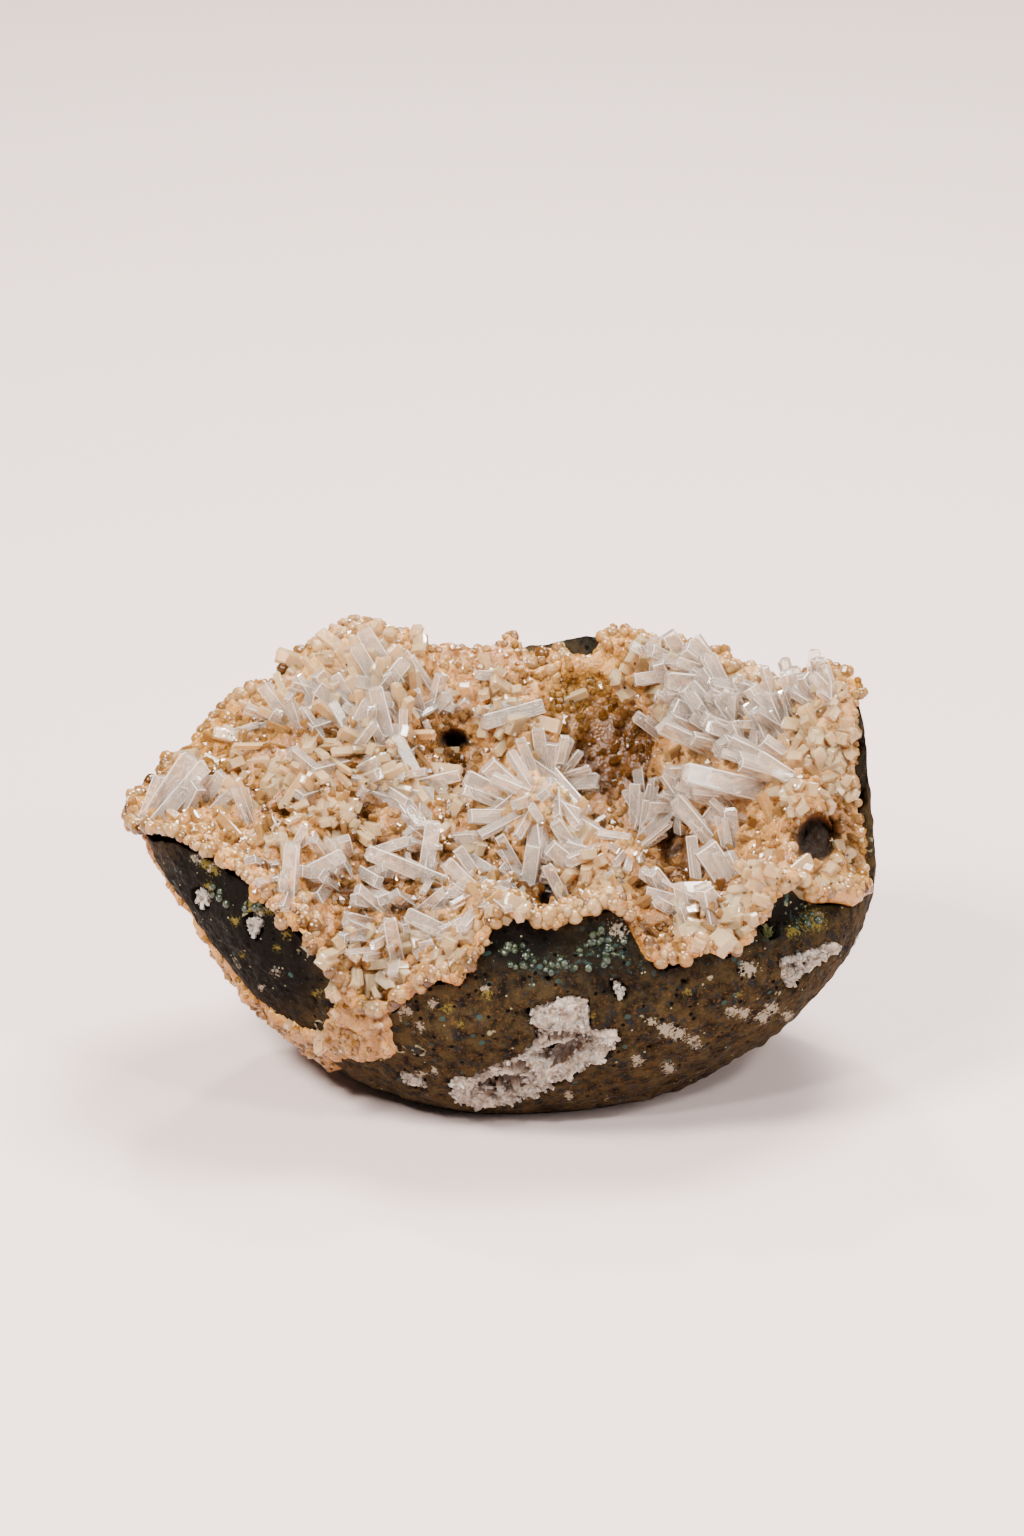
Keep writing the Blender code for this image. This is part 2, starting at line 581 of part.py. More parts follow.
def build_filling(name, spec, stone, proud, parts, cutters, material):
    """A pocket in the stone and the mineral lining that fills it, a little proud of the face."""
    pocket, _ = outline_block(name + "_pocket", spec["outline"], spec["depth"], 0.0, cutters)
    combine(stone, pocket, "DIFFERENCE")
    inner, placement = outline_block(name + "_body", spec["outline"], spec["depth"] - GAP, -GAP,
                                     cutters)
    lining = bpy.data.objects.new(name, inner.data.copy())
    lining.data.materials.clear()
    lining.data.materials.append(material)
    parts.objects.link(lining)
    bpy.data.objects.remove(inner)
    combine(lining, proud, "INTERSECT")
    for index, (across, up, long, short, turn) in enumerate(spec["hollows"]):
        mouth = first_hit(across, up, in_stone)
        bm = bmesh.new()
        bmesh.ops.create_icosphere(bm, subdivisions=2, radius=1.0)
        bmesh.ops.scale(bm, vec=(long, short, spec["depth"] * 0.7), verts=bm.verts)
        axis = placement.to_3x3() @ Vector((0, 0, 1))
        bmesh.ops.transform(bm, matrix=facing(axis, mouth, turn), verts=bm.verts)
        hollow = as_guide(new_object(f"{name}_hollow_{index}", bm, cutters))
        combine(lining, hollow, "DIFFERENCE")
    return lining


def build_edge_filling(stone, proud, parts, cutters, material):
    """The sliver on the right edge, a lens set into the stone."""
    distance = reach(EDGE_VUG["azimuth"], EDGE_VUG["height"])
    middle = at(EDGE_VUG["azimuth"], distance, EDGE_VUG["height"])
    outwards = at(EDGE_VUG["azimuth"], 1.0, -0.25)

    def lens(name, shrink):
        bm = bmesh.new()
        bmesh.ops.create_icosphere(bm, subdivisions=2, radius=1.0)
        radii = [EDGE_VUG[key] - shrink for key in ("long", "short", "depth")]
        bmesh.ops.scale(bm, vec=radii, verts=bm.verts)
        bmesh.ops.transform(bm, matrix=facing(outwards, middle, EDGE_VUG["turn"]), verts=bm.verts)
        return bm

    pocket = as_guide(new_object("edge_vug_pocket", lens("pocket", 0.0), cutters))
    combine(stone, pocket, "DIFFERENCE")
    lining = new_object("edge_vug_lining", lens("lining", GAP), parts, material)
    combine(lining, proud, "INTERSECT")


def make_material(name, colour, roughness, transmission=0.0):
    """A plain finish."""
    material = bpy.data.materials.new(name)
    material.use_nodes = True
    shader = material.node_tree.nodes["Principled BSDF"]
    shader.inputs["Base Color"].default_value = (*colour, 1.0)
    shader.inputs["Roughness"].default_value = roughness
    shader.inputs["Metallic"].default_value = 0.0
    shader.inputs["Transmission Weight"].default_value = transmission
    material.diffuse_color = (*colour, 1.0)
    return material


def clear_scene():
    """Remove the objects that the scene starts with."""
    for obj in list(bpy.data.objects):
        bpy.data.objects.remove(obj)


def new_collection(name):
    """A collection linked to the scene."""
    collection = bpy.data.collections.new(name)
    bpy.context.scene.collection.children.link(collection)
    return collection


def main():
    """Build the stone, its crust and its fillings."""
    clear_scene()
    parts = new_collection("heulandite_with_calcite")
    cutters = new_collection("cutters")
    crust_cutters = new_collection("crust_cutters")
    blades = new_collection("blades")
    basalt = make_material("dark basalt", (0.045, 0.036, 0.028), 0.75)
    peach = make_material("peach heulandite", (0.72, 0.52, 0.36), 0.4)
    white = make_material("white quartz", (0.62, 0.56, 0.5), 0.45)
    green = make_material("green celadonite", (0.2, 0.24, 0.1), 0.5)

    stone = ringed_ball("basalt_matrix", basalt_rings(), parts, basalt)
    proud = as_guide(ringed_ball("proud_stone", basalt_rings(FILLING_PROUD), cutters))
    as_guide(ringed_ball("clear_of_stone", basalt_rings(GAP), crust_cutters))

    crust = ringed_ball("crystal_crust", crust_rings(), parts, peach, CRUST_TURN)
    build_blades(blades)
    combine(crust, blades, "UNION")
    tidy_faces(crust)
    for index, hole in enumerate(CRUST_HOLES):
        build_hole(index, hole, crust_cutters)
    combine(crust, crust_cutters, "DIFFERENCE")
    tidy_faces(crust)

    for name, spec in FILLINGS.items():
        material = green if name == "green_filling" else white
        build_filling(name, spec, stone, proud, parts, cutters, material)
    build_edge_filling(stone, proud, parts, cutters, white)


main()
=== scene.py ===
"""Heulandite with calcite: a basalt stone whose hollow is lined by a peach crust and clear blades.

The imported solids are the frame. Each of them is replaced here by finer pieces of the same form: the
stone with its pits and specks, the sugary crust, the grains, prisms and knobs that stand out of it,
the calcite blades and the crystals in and around the stone's bubbles.

Forms are worked out in millimetres and azimuths in degrees, from 0 at +X through 90 at +Y, the back.
A place that is "seen" is given as (across, up) from the front, from SIGHT_TILT above level.
"""

import logging
import math
import random
from dataclasses import dataclass, field
from enum import Enum
from functools import lru_cache
from typing import Callable, Iterable, Sequence

import bpy
import numpy as np
from mathutils import Matrix, Vector, noise
from mathutils.bvhtree import BVHTree

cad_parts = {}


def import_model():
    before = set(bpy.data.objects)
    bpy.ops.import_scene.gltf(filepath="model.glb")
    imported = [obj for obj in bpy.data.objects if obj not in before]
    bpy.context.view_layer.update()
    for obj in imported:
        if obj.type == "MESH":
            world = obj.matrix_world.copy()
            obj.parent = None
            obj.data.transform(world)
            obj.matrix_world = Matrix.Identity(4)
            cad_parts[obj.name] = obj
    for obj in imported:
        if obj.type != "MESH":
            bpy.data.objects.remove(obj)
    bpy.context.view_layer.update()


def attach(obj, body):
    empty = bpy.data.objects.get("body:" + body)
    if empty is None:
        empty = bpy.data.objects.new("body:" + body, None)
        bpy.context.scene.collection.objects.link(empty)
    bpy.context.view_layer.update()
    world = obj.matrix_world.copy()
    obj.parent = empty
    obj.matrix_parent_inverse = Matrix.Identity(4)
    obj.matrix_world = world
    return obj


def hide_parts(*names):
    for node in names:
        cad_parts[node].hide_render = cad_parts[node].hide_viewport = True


logging.basicConfig(level=logging.INFO, format="%(message)s")
LOG = logging.getLogger("specimen")

MM = 0.001

# The photo's line of sight: its tilt, the way towards the eye, and the depth that lines start at
SIGHT_TILT = math.radians(22.0)
SIGHT_COS = math.cos(SIGHT_TILT)
SIGHT_SIN = math.sin(SIGHT_TILT)
TO_EYE = Vector((0.0, -SIGHT_COS, SIGHT_SIN))
SIGHT_START = -120.0

# Blender's vector noise is seeded by the clock unless it is given a seed
NOISE_SEED = 2

# Corners of the box that no small crystal leaves
LOWEST = (-51.4, -36.6, 0.0)
HIGHEST = (50.8, 36.4, 56.2)

Pair = tuple[float, float]
Triple = tuple[float, float, float]
Ring = Callable[[float], Vector]

# Outer face of the basalt: (height, distance from the middle axis) on its four sides
REACH_RIGHT = ((0, 24), (2, 29), (5, 33.5), (10, 39.5), (15, 44), (20, 47.3), (25, 49.2),
               (30, 49.8), (36, 49.2), (42, 48.6), (54, 48.4))
REACH_BACK = ((0, 18), (2, 21.5), (5, 25), (10, 29.3), (15, 32.2), (20, 34), (27, 35),
              (35, 35), (42, 34.2), (50, 33))
REACH_LEFT = ((0, 20), (2, 23.6), (5, 27.7), (10, 33), (15, 36.8), (20, 40), (25, 43.3),
              (30, 46.2), (36, 48.4), (45, 49.5))
REACH_FRONT = ((0, 18), (2, 21.5), (5, 25), (10, 29), (15, 32), (20, 33.9), (25, 34.6),
               (30, 34.2), (36, 33.2))
PLAN_POWER = ((45, 2.4), (135, 2.0), (225, 1.75), (315, 2.3))

# Height of the basalt's rim, and how far the crust stands above it and hangs over it
RIM = ((7, 49.5), (18, 49), (27, 46), (36, 44), (49, 46.5), (60, 47), (69, 48.8), (77, 47.5),
       (86, 46.5), (94, 43.8), (103, 43), (113, 46), (121, 48.5), (132, 46.5), (140, 42.3),
       (149, 40), (157, 36.8), (165, 34.5), (178, 34), (186, 34.4), (197, 37), (212, 35),
       (219, 31.5), (229, 26), (238, 18.5), (243, 19.3), (254, 24.8), (261, 26), (266, 30),
       (272, 34.8), (280, 32.3), (288, 33.4), (297, 34.3), (303, 26.6), (307, 27), (311, 28.8),
       (315, 27.3), (324, 31.5), (331, 33.8), (338, 30), (354, 28), (360, 41))
LIP_HEIGHT = ((0, 1.2), (6, 1.6), (10, 3.8), (16, 3.4), (22, 1.7), (35, 2.2), (65.5, 2.6),
              (68.4, -6.2), (72.4, -6.0), (74.6, -1.2), (84, -1.0), (88, 2.4), (120, 3.2),
              (150, 2.6), (200, 2.4), (340, 2.6), (352, 2.2))
LIP_REACH = ((0, -2.2), (4, -1.8), (8, -0.3), (12.5, -0.3), (17, -2.2), (25, -2.4), (40, 0.0),
             (65, 0.2), (68.6, -5.0), (73, -5.0), (75, -3.2), (84, -3.2), (88, 0.2), (140, 0.4),
             (155, 1.6), (178, 1.95), (200, 1.0), (342, 0.8), (352, -1.2))

# How far the lip's outer side is lifted off the stone on its left
LIP_LIFT = ((180, 0), (192, 1.6), (228, 1.8), (238, 0.6), (246, 0.0))

# The shelf under the front lip, cut back above a ledge
LEDGE_HEIGHT = 28.2
LEDGE_RISE = 2.0
LEDGE_DEPTH = 2.6
LEDGE_SPAN = ((258, 0), (266, 1), (338, 1), (350, 0))

# Hollow in the basalt, under the crust
HOLLOW_FLOOR = 16.0
HOLLOW_POWER = 2.2

# Crust that runs down the outside of the stone, on its left: its top and bottom edge
SKIRT_THICKNESS = 1.25
SKIRT_FADE = 1.5
SKIRT_SINK = 1.2
SKIRT_TOP = ((150, 99), (175, 99), (178, 33), (182, 26), (188, 18), (198, 13.5), (212, 12.8),
             (222, 14.5), (227.5, 18), (231, 22), (234, 99), (250, 99))
SKIRT_BOTTOM = ((140, 60), (150, 30), (156, 9), (175, 4), (208, 4), (216, 6.5), (224, 9.5),
                (238, 10.5), (243, 12), (246, 60))

# Surface of the crust inside the hollow: (x, y, height)
SPOTS = (
    (-42, -4, 38.5), (-38, -13, 37.5), (-30, -19, 35), (-25, -12, 36), (-24, -23, 30.5),
    (-17, -22, 27), (-14, -27, 23.5), (-16, -12, 31.5), (-8, -22, 28.5), (-6, -12, 31),
    (-32, 0, 40), (-36, 9, 41), (-26, 8, 43), (-20, 4, 40.5), (-24, 18, 48.5), (-19, 25, 52.5),
    (-33, 17, 44), (-38, 16, 41.5), (-42, 10, 39), (-45, 4, 37.5), (-29, 22, 46.5),
    (-12, 22, 50), (-10, 10, 41), (-5, 15, 35.5), (-5, 21, 45), (-15, -2, 36.5), (-1, 8, 36),
    (6, -3, 42.3), (-2, -3, 35.5), (13, -2, 34), (6, 5, 36), (6, -10, 33.5), (16, -13, 37.8),
    (22, -12, 31), (11, -14, 34), (16, -20, 34), (-2, -20, 34), (-8, -18, 30), (5, -20, 30),
    (2, -28, 35.5), (12, -27, 35), (20, -26, 33.5), (27, -25, 33), (34, -21, 35.3),
    (13, 12, 29), (15, 26, 42), (12, 20, 31), (22, 2, 26.5), (24, 9, 28.5), (20, 18, 32.5),
    (0, 27, 48.3), (8, 28, 46.5), (4, 21, 42), (5, 13, 36), (24, 27, 50), (31, 22, 49.5),
    (25, 18, 42), (36, 20, 45.5), (32, 12, 40.5), (40, 12, 47.5), (45, 9, 50), (32, 2, 34),
    (38, 2, 41), (44, 0, 46), (44, -8, 41.5), (37, -8, 37.5), (30, -8, 30.5), (42, -14, 36),
    (36, -17, 35.5), (28, -17, 32.5),
)

# Random lumps of the crust and the stone: (size, height) of each kind
LUMP_SIZES = ((6.5, 1.1), (3.3, 0.8))
STONE_LUMPS = ((14.0, 0.7), (6.0, 0.35))

# Share of the crust's radius over which it passes into its rim, and how much of its lumps ends there
RIM_BLEND = 0.16
RIM_CALM = 0.6

# Holes that run into the crust: place as seen, radii and depth below the surface
CRUST_HOLES = ((42.0, 29.9, 3.0, 3.5, 6.5), (-6.5, 43.4, 2.2, 1.2, 4.0), (6.0, 22.0, 1.1, 2.6, 3.5),
               (24.0, 28.6, 2.6, 3.0, 1.5))

# Calcite blades, by cluster: lean towards the front, then for each blade where its foot is seen,
# the way it points (0 is right, 90 is up), its length and its width
BLADES = (
    ("left rim", 15, ((-45.5, 33, 50, 9, 2.2), (-46, 34.5, 57, 8, 2.8), (-40, 35, 54, 5, 1.8),
                      (-38.5, 34, 45, 4, 1.4), (-34, 32.5, 110, 5, 1.4), (-36.5, 44, 13, 5.5, 1.5))),
    ("left back", 10, ((-29.5, 47, 128, 4.5, 1.6), (-16, 50, 122, 7, 1.9), (-15, 52, 122, 7, 2.3),
                       (-16, 50.5, 50, 4.5, 1.9), (-10.5, 51, 126, 5, 2.0), (-15, 42.5, 104, 8, 2.0),
                       (-12, 39.5, 117, 5, 1.7), (-20, 44, 64, 5, 2.0), (-21, 47.5, 143, 5, 2.0),
                       (-14.5, 41, 186, 4, 1.4), (-10.5, 37.5, 14, 5, 1.7), (-17, 37, -13, 6.5, 1.8),
                       (-9.5, 48, 205, 4.5, 1.5))),
    ("back", 30, ((-0.5, 52, 178, 3.5, 1.4), (2, 48, 190, 6, 1.5), (4, 47.5, 196, 7.5, 2.0))),
    ("spray", 20, ((5.5, 40, 98, 5, 1.7), (4, 39.5, 112, 4.5, 1.4), (7.5, 40, 67, 4, 1.7),
                   (6.3, 39.5, 87, 3.5, 2.2), (6, 38.5, 145, 5, 1.8), (2, 36.5, 138, 5.5, 2.6),
                   (9, 37.5, 37, 3.5, 1.4), (9, 37.5, 6, 4, 2.0), (1, 35.5, 153, 6.5, 2.1),
                   (-1, 35, 158, 5, 1.5), (0, 33, 178, 5, 2.0), (7.5, 38, -48, 6.5, 2.0))),
    ("low", 20, ((1.3, 27.5, 119, 3.5, 1.5), (3.5, 23.7, 82, 6, 1.9), (8, 22.5, 117, 5, 1.5),
                 (9, 27, 142, 3.5, 2.2), (9.8, 28.5, 124, 5, 2.0), (-3.5, 23.5, 135, 5.5, 1.5),
                 (-4, 26, 124, 3.5, 1.5))),
    ("right back", 25, ((21.7, 52, 188, 4, 1.7), (27, 51, 175, 5.5, 2.4), (20.8, 52.5, 90, 5, 1.7),
                        (24.4, 54.5, 121, 4, 2.0))),
    ("right", 25, ((28.3, 42, 155, 9, 2.0), (21, 44.5, 144, 4, 1.8), (32, 43, 145, 5.5, 1.6),
                   (34, 36.5, 166, 10.5, 3.0), (26.7, 46, 153, 4.5, 2.6), (31.7, 46, 125, 4.5, 2.6),
                   (36, 44, 113, 4.5, 2.4), (39, 49, 106, 4, 1.7), (40.6, 49, 98, 3.5, 1.5))),
    ("pit", 10, ((18, 33, 90, 4.5, 1.5), (19, 32.5, 73, 5, 1.7), (20, 31, 46, 5.5, 1.7),
                 (28, 30, 130, 7, 2.0), (31, 29.5, 96, 4.5, 2.0), (26, 24.5, 96, 6, 1.5),
                 (30, 24.5, 123, 5.5, 3.2), (25, 21.5, 165, 6, 1.5), (29, 21, 132, 4, 2.3))),
    ("valley", 15, ((-28.3, 23, 86, 7, 2.0), (-26, 25.5, 27, 5.5, 1.9), (-20, 31, -87, 7.5, 2.0),
                    (-9.5, 25, 158, 9.5, 2.1), (-15.5, 25.5, -104, 8, 2.0), (-10, 27, 81, 5.5, 2.0),
                    (-5.5, 23.5, 225, 5, 1.7), (-8.5, 18, 153, 4.5, 2.2), (-14.2, 15, 100, 5, 2.0))),
)

# How deep a blade is rooted in the crust, and how far it may be rolled
BLADE_ROOT = 1.6
BLADE_ROLL = 35.0

# Share of a small crystal's length that is sunk in the surface it grows on
PRISM_ROOT = 0.68
GRAIN_ROOT = 0.1

# How the growth lines shift from crystal to crystal: over what distance, and by how much
GROWTH_DRIFT = (1.7, 20.0)


def curve_at(points: Sequence[Pair], where: float) -> float:
    """Read a smooth curve that never runs past its points.

    Args:
        points: Pairs of place and value, in order of place.
        where: The place to read.

    Returns:
        The curve's value there, level beyond its ends.
    """
    if where <= points[0][0]:
        return points[0][1]
    if where >= points[-1][0]:
        return points[-1][1]
    i = 0
    while points[i + 1][0] <= where:
        i += 1
    span = points[i + 1][0] - points[i][0]
    t = (where - points[i][0]) / span
    rise = (points[i + 1][1] - points[i][1]) / span
    before = after = rise
    if i > 0:
        before = (points[i][1] - points[i - 1][1]) / (points[i][0] - points[i - 1][0])
    if i + 2 < len(points):
        after = (points[i + 2][1] - points[i + 1][1]) / (points[i + 2][0] - points[i + 1][0])
    start = 0.0 if before * rise <= 0 else 2 * before * rise / (before + rise)
    end = 0.0 if after * rise <= 0 else 2 * after * rise / (after + rise)
    a, b = points[i][1], points[i + 1][1]
    return (a * (1 + 2 * t) * (1 - t) ** 2 + b * t * t * (3 - 2 * t)
            + span * t * (1 - t) * (start * (1 - t) - end * t))


def round_curve(points: Sequence[Pair], azimuth: float) -> float:
    """Read a smooth closed curve of azimuths."""
    first = tuple((p[0] + 360, p[1]) for p in points[:2])
    last = tuple((p[0] - 360, p[1]) for p in points[-2:])
    return curve_at(last + tuple(points) + first, azimuth % 360)


def span_curve(points: Sequence[Pair], azimuth: float) -> float:
    """Read a curve between its first and last azimuth, and its first value elsewhere."""
    azimuth %= 360
    if points[0][0] <= azimuth <= points[-1][0]:
        return curve_at(points, azimuth)
    return points[0][1]


def smooth_step(x: float) -> float:
    """0 below 0, 1 above 1, and smooth between."""
    x = min(max(x, 0.0), 1.0)
    return x * x * (3 - 2 * x)


def lumps(point: Iterable[float], sizes: Sequence[Pair]) -> float:
    """Sum of smooth random lumps, each (size, height), at a point."""
    return sum(height * noise.noise(Vector(point) / size) for size, height in sizes)


def at(azimuth: float, distance: float, height: float) -> Vector:
    """The point at an azimuth, a distance from the middle axis and a height."""
    turn = math.radians(azimuth)
    return Vector((distance * math.cos(turn), distance * math.sin(turn), height))


@lru_cache(maxsize=None)
def rim_height(azimuth: float) -> float:
    """Height of the basalt's rim."""
    return round_curve(RIM, azimuth)


@lru_cache(maxsize=None)
def reach(azimuth: float, height: float) -> float:
    """Distance from the middle axis to the basalt's outer face."""
    turn = math.radians(azimuth)
    c, s = math.cos(turn), math.sin(turn)
    side = curve_at(REACH_RIGHT if c > 0 else REACH_LEFT, height)
    depth = curve_at(REACH_BACK if s > 0 else REACH_FRONT, height)
    power = round_curve(PLAN_POWER, azimuth)
    plain = (abs(c / side) ** power + abs(s / depth) ** power) ** (-1 / power)
    cut = LEDGE_DEPTH * smooth_step((height - LEDGE_HEIGHT) / LEDGE_RISE)
    rough = lumps((plain * c, plain * s, height), STONE_LUMPS) * smooth_step(height / 6)
    return plain - cut * curve_at(LEDGE_SPAN, azimuth % 360) + rough


def bending_plate(spots: Sequence[Triple]) -> Callable[..., np.ndarray]:
    """Lay a smooth surface through spots.

    Args:
        spots: Places and heights, each (x, y, height).

    Returns:
        A function of x and y that gives the surface's height.
    """
    x, y, height = np.array(spots, dtype=float).T

    def stiffness(square: np.ndarray) -> np.ndarray:
        return np.where(square > 0, square * np.log(np.maximum(square, 1e-12)), 0.0)

    links = stiffness((x[:, None] - x) ** 2 + (y[:, None] - y) ** 2)
    flat = np.stack([np.ones(len(x)), x, y], axis=1)
    system = np.block([[links, flat], [flat.T, np.zeros((3, 3))]])
    weights = np.linalg.solve(system, np.concatenate([height, np.zeros(3)]))

    def height_at(px: float | np.ndarray, py: float | np.ndarray) -> np.ndarray:
        px, py = np.asarray(px, dtype=float), np.asarray(py, dtype=float)
        pulls = stiffness((x - px[..., None]) ** 2 + (y - py[..., None]) ** 2)
        return pulls @ weights[:-3] + weights[-3] + weights[-2] * px + weights[-1] * py

    return height_at


def rim_spots() -> list[Triple]:
    """Places on the crust's rim, to tie its inner surface to."""
    spots = []
    for azimuth in range(0, 360, 8):
        rim = rim_height(azimuth)
        place = at(azimuth, reach(azimuth, rim), rim + round_curve(LIP_HEIGHT, azimuth))
        spots.append(tuple(place))
    return spots


INNER_SURFACE = bending_plate(list(SPOTS) + rim_spots())


def crust_point(azimuth: float, share: float) -> Vector:
    """Point on the top of the crust, share of the way from the middle axis to its rim."""
    rim = rim_height(azimuth)
    edge = reach(azimuth, rim) + round_curve(LIP_REACH, azimuth)
    place = at(azimuth, edge * share, 0)
    tie = smooth_step((share - 1 + RIM_BLEND) / RIM_BLEND)
    lip = rim + round_curve(LIP_HEIGHT, azimuth)
    height = float(INNER_SURFACE(place.x, place.y)) * (1 - tie) + lip * tie
    place.z = height + lumps((place.x, place.y, height), LUMP_SIZES) * (1 - RIM_CALM * tie)
    return place


def skirt_offset(azimuth: float, height: float) -> float:
    """How far the crust's outer side stands off the basalt, negative where there is none."""
    low = height - span_curve(SKIRT_BOTTOM, azimuth)
    high = span_curve(SKIRT_TOP, azimuth) - height
    rise = min(low, high) / SKIRT_FADE
    return min(max(rise, -SKIRT_SINK), 1.0) * SKIRT_THICKNESS


def seen_on(tree: BVHTree, seen: Pair) -> tuple[Vector | None, Vector | None]:
    """The first point of a surface on the line of sight through a seen place, and its normal."""
    across, up = seen
    start = Vector((across, SIGHT_START, (up - SIGHT_START * SIGHT_SIN) / SIGHT_COS))
    place, normal, *_ = tree.ray_cast(start, -TO_EYE)
    return place, normal


def seen_up(points: np.ndarray) -> np.ndarray:
    """How far up each point is seen."""
    return points[:, 2] * SIGHT_COS + points[:, 1] * SIGHT_SIN


def sight_direction(clock: float, lean: float) -> Vector:
    """Direction of something seen pointing at a clock angle and leaning towards the eye."""
    turn, tilt = math.radians(clock), math.radians(lean)
    in_view = Vector((math.cos(turn), math.sin(turn) * SIGHT_SIN, math.sin(turn) * SIGHT_COS))
    return in_view * math.cos(tilt) + TO_EYE * math.sin(tilt)


def facing(direction: Vector, roll: float = 0.0) -> Matrix:
    """Turn with its local Z along a direction and its local X level, then rolled."""
    z_axis = direction.normalized()
    x_axis = TO_EYE.cross(z_axis)
    if x_axis.length < 0.01:
        x_axis = Vector((1, 0, 0))
    x_axis.normalize()
    turned = Matrix((x_axis, z_axis.cross(x_axis), z_axis)).transposed()
    return turned @ Matrix.Rotation(math.radians(roll), 3, "Z")


def spread_rings(shares: Sequence[float], between: int) -> list[float]:
    """Put more shares evenly between each two of a list."""
    fine = []
    for a, b in zip(shares, shares[1:]):
        fine += [a + (b - a) * k / between for k in range(between)]
    return fine + [shares[-1]]


def select_only(obj: bpy.types.Object) -> None:
    """Make an object the only selected one, and the active one."""
    bpy.ops.object.select_all(action="DESELECT")
    obj.select_set(True)
    bpy.context.view_layer.objects.active = obj


def apply_modifier(obj: bpy.types.Object, name: str, kind: str, **settings: object) -> None:
    """Give an object a modifier with these settings, and apply it."""
    modifier = obj.modifiers.new(name, kind)
    for key, value in settings.items():
        setattr(modifier, key, value)
    select_only(obj)
    bpy.ops.object.modifier_apply(modifier=modifier.name)


def points_of(mesh: bpy.types.Mesh) -> np.ndarray:
    """A mesh's points in millimetres, one row each."""
    flat = np.empty(len(mesh.vertices) * 3)
    mesh.vertices.foreach_get("co", flat)
    return flat.reshape(-1, 3) / MM


def set_points(mesh: bpy.types.Mesh, points: np.ndarray) -> None:
    """Move a mesh's points to these places, in millimetres."""
    mesh.vertices.foreach_set("co", (points * MM).ravel())
    mesh.update()


def normals_of(mesh: bpy.types.Mesh) -> np.ndarray:
    """The way out at each of a mesh's points."""
    flat = np.empty(len(mesh.vertices) * 3)
    mesh.vertex_normals.foreach_get("vector", flat)
    return flat.reshape(-1, 3)


def set_layer(mesh: bpy.types.Mesh, name: str, values: np.ndarray) -> None:
    """Store a number for each point of a mesh, for its material to read."""
    layer = mesh.attributes.new(name, "FLOAT", "POINT")
    layer.data.foreach_set("value", np.clip(values, 0.0, 1.0).astype(np.float32))


def reorder(obj: bpy.types.Object, ranks: np.ndarray, points: np.ndarray) -> None:
    """Give an object a new mesh with its points and faces in a fixed order.

    Subdividing leaves them in another order each run, and what is scattered over them hangs on it.

    Args:
        obj: The object.
        ranks: The new number of each of its points.
        points: Their places in millimetres, in the old order.
    """
    faces = []
    for face in obj.data.polygons:
        corners = [int(ranks[i]) for i in face.vertices]
        first = corners.index(min(corners))
        faces.append(tuple(corners[first:] + corners[:first]))
    mesh = bpy.data.meshes.new(obj.name)
    mesh.from_pydata(points[np.argsort(ranks)] * MM, [], sorted(faces))
    obj.data = mesh


def add_object(name: str, data: bpy.types.ID) -> bpy.types.Object:
    """Add an object with this data to the scene."""
    obj = bpy.data.objects.new(name, data)
    bpy.context.scene.collection.objects.link(obj)
    return obj


def shade(obj: bpy.types.Object, smooth: bool) -> None:
    """Shade all of an object's faces smooth, or all flat."""
    obj.data.polygons.foreach_set("use_smooth", [smooth] * len(obj.data.polygons))


def tree_of(mesh: bpy.types.Mesh) -> BVHTree:
    """A tree of a mesh's faces, in millimetres, to cast lines on."""
    points = [tuple(p) for p in points_of(mesh)]
    faces = [tuple(f.vertices) for f in mesh.polygons]
    return BVHTree.FromPolygons(points, faces)


def ringed_ball(name: str, rings: Sequence[Ring], segments: int) -> bpy.types.Object:
    """Add a sphere, divide it once more, and lay its rings out from its top pole to its bottom pole.

    Args:
        name: The object's name.
        rings: A function of the azimuth for each ring, an odd number of them.
        segments: How many points each ring has, an even number.

    Returns:
        The object, in metres.
    """
    bpy.ops.object.select_all(action="DESELECT")
    bpy.ops.mesh.primitive_uv_sphere_add(segments=segments // 2, ring_count=len(rings) // 2, radius=1.0)
    ball = bpy.context.active_object
    ball.name = name
    ball.data.name = name
    bpy.ops.object.mode_set(mode="EDIT")
    bpy.ops.mesh.select_all(action="SELECT")
    bpy.ops.mesh.subdivide(number_cuts=1)
    bpy.ops.object.mode_set(mode="OBJECT")
    unit = points_of(ball.data) * MM
    unit /= np.linalg.norm(unit, axis=1)[:, None]
    levels = np.arccos(np.clip(unit[:, 2], -1, 1)) / math.pi * (len(rings) - 1)
    steps = np.round(np.arctan2(unit[:, 1], unit[:, 0]) / math.tau * segments) % segments
    placed = [tuple(rings[round(k)](float(step * 360 / segments))) for k, step in zip(levels, steps)]
    ranks = np.argsort(np.argsort(np.round(levels) * segments + steps))
    reorder(ball, ranks, np.array(placed))
    return ball


def recess_at(points: np.ndarray, ring: float = 7.0) -> np.ndarray:
    """How far places on the crust lie below what is a ring's radius away, in millimetres."""
    x, y = points[:, 0], points[:, 1]
    here = INNER_SURFACE(x, y)
    around = np.zeros(len(points))
    for azimuth in range(0, 360, 45):
        step = at(azimuth, ring, 0)
        around += INNER_SURFACE(x + step.x, y + step.y) / 8
    inside = points[:, 2] > here - 2.5
    return np.where(inside, around - here, 0.0)


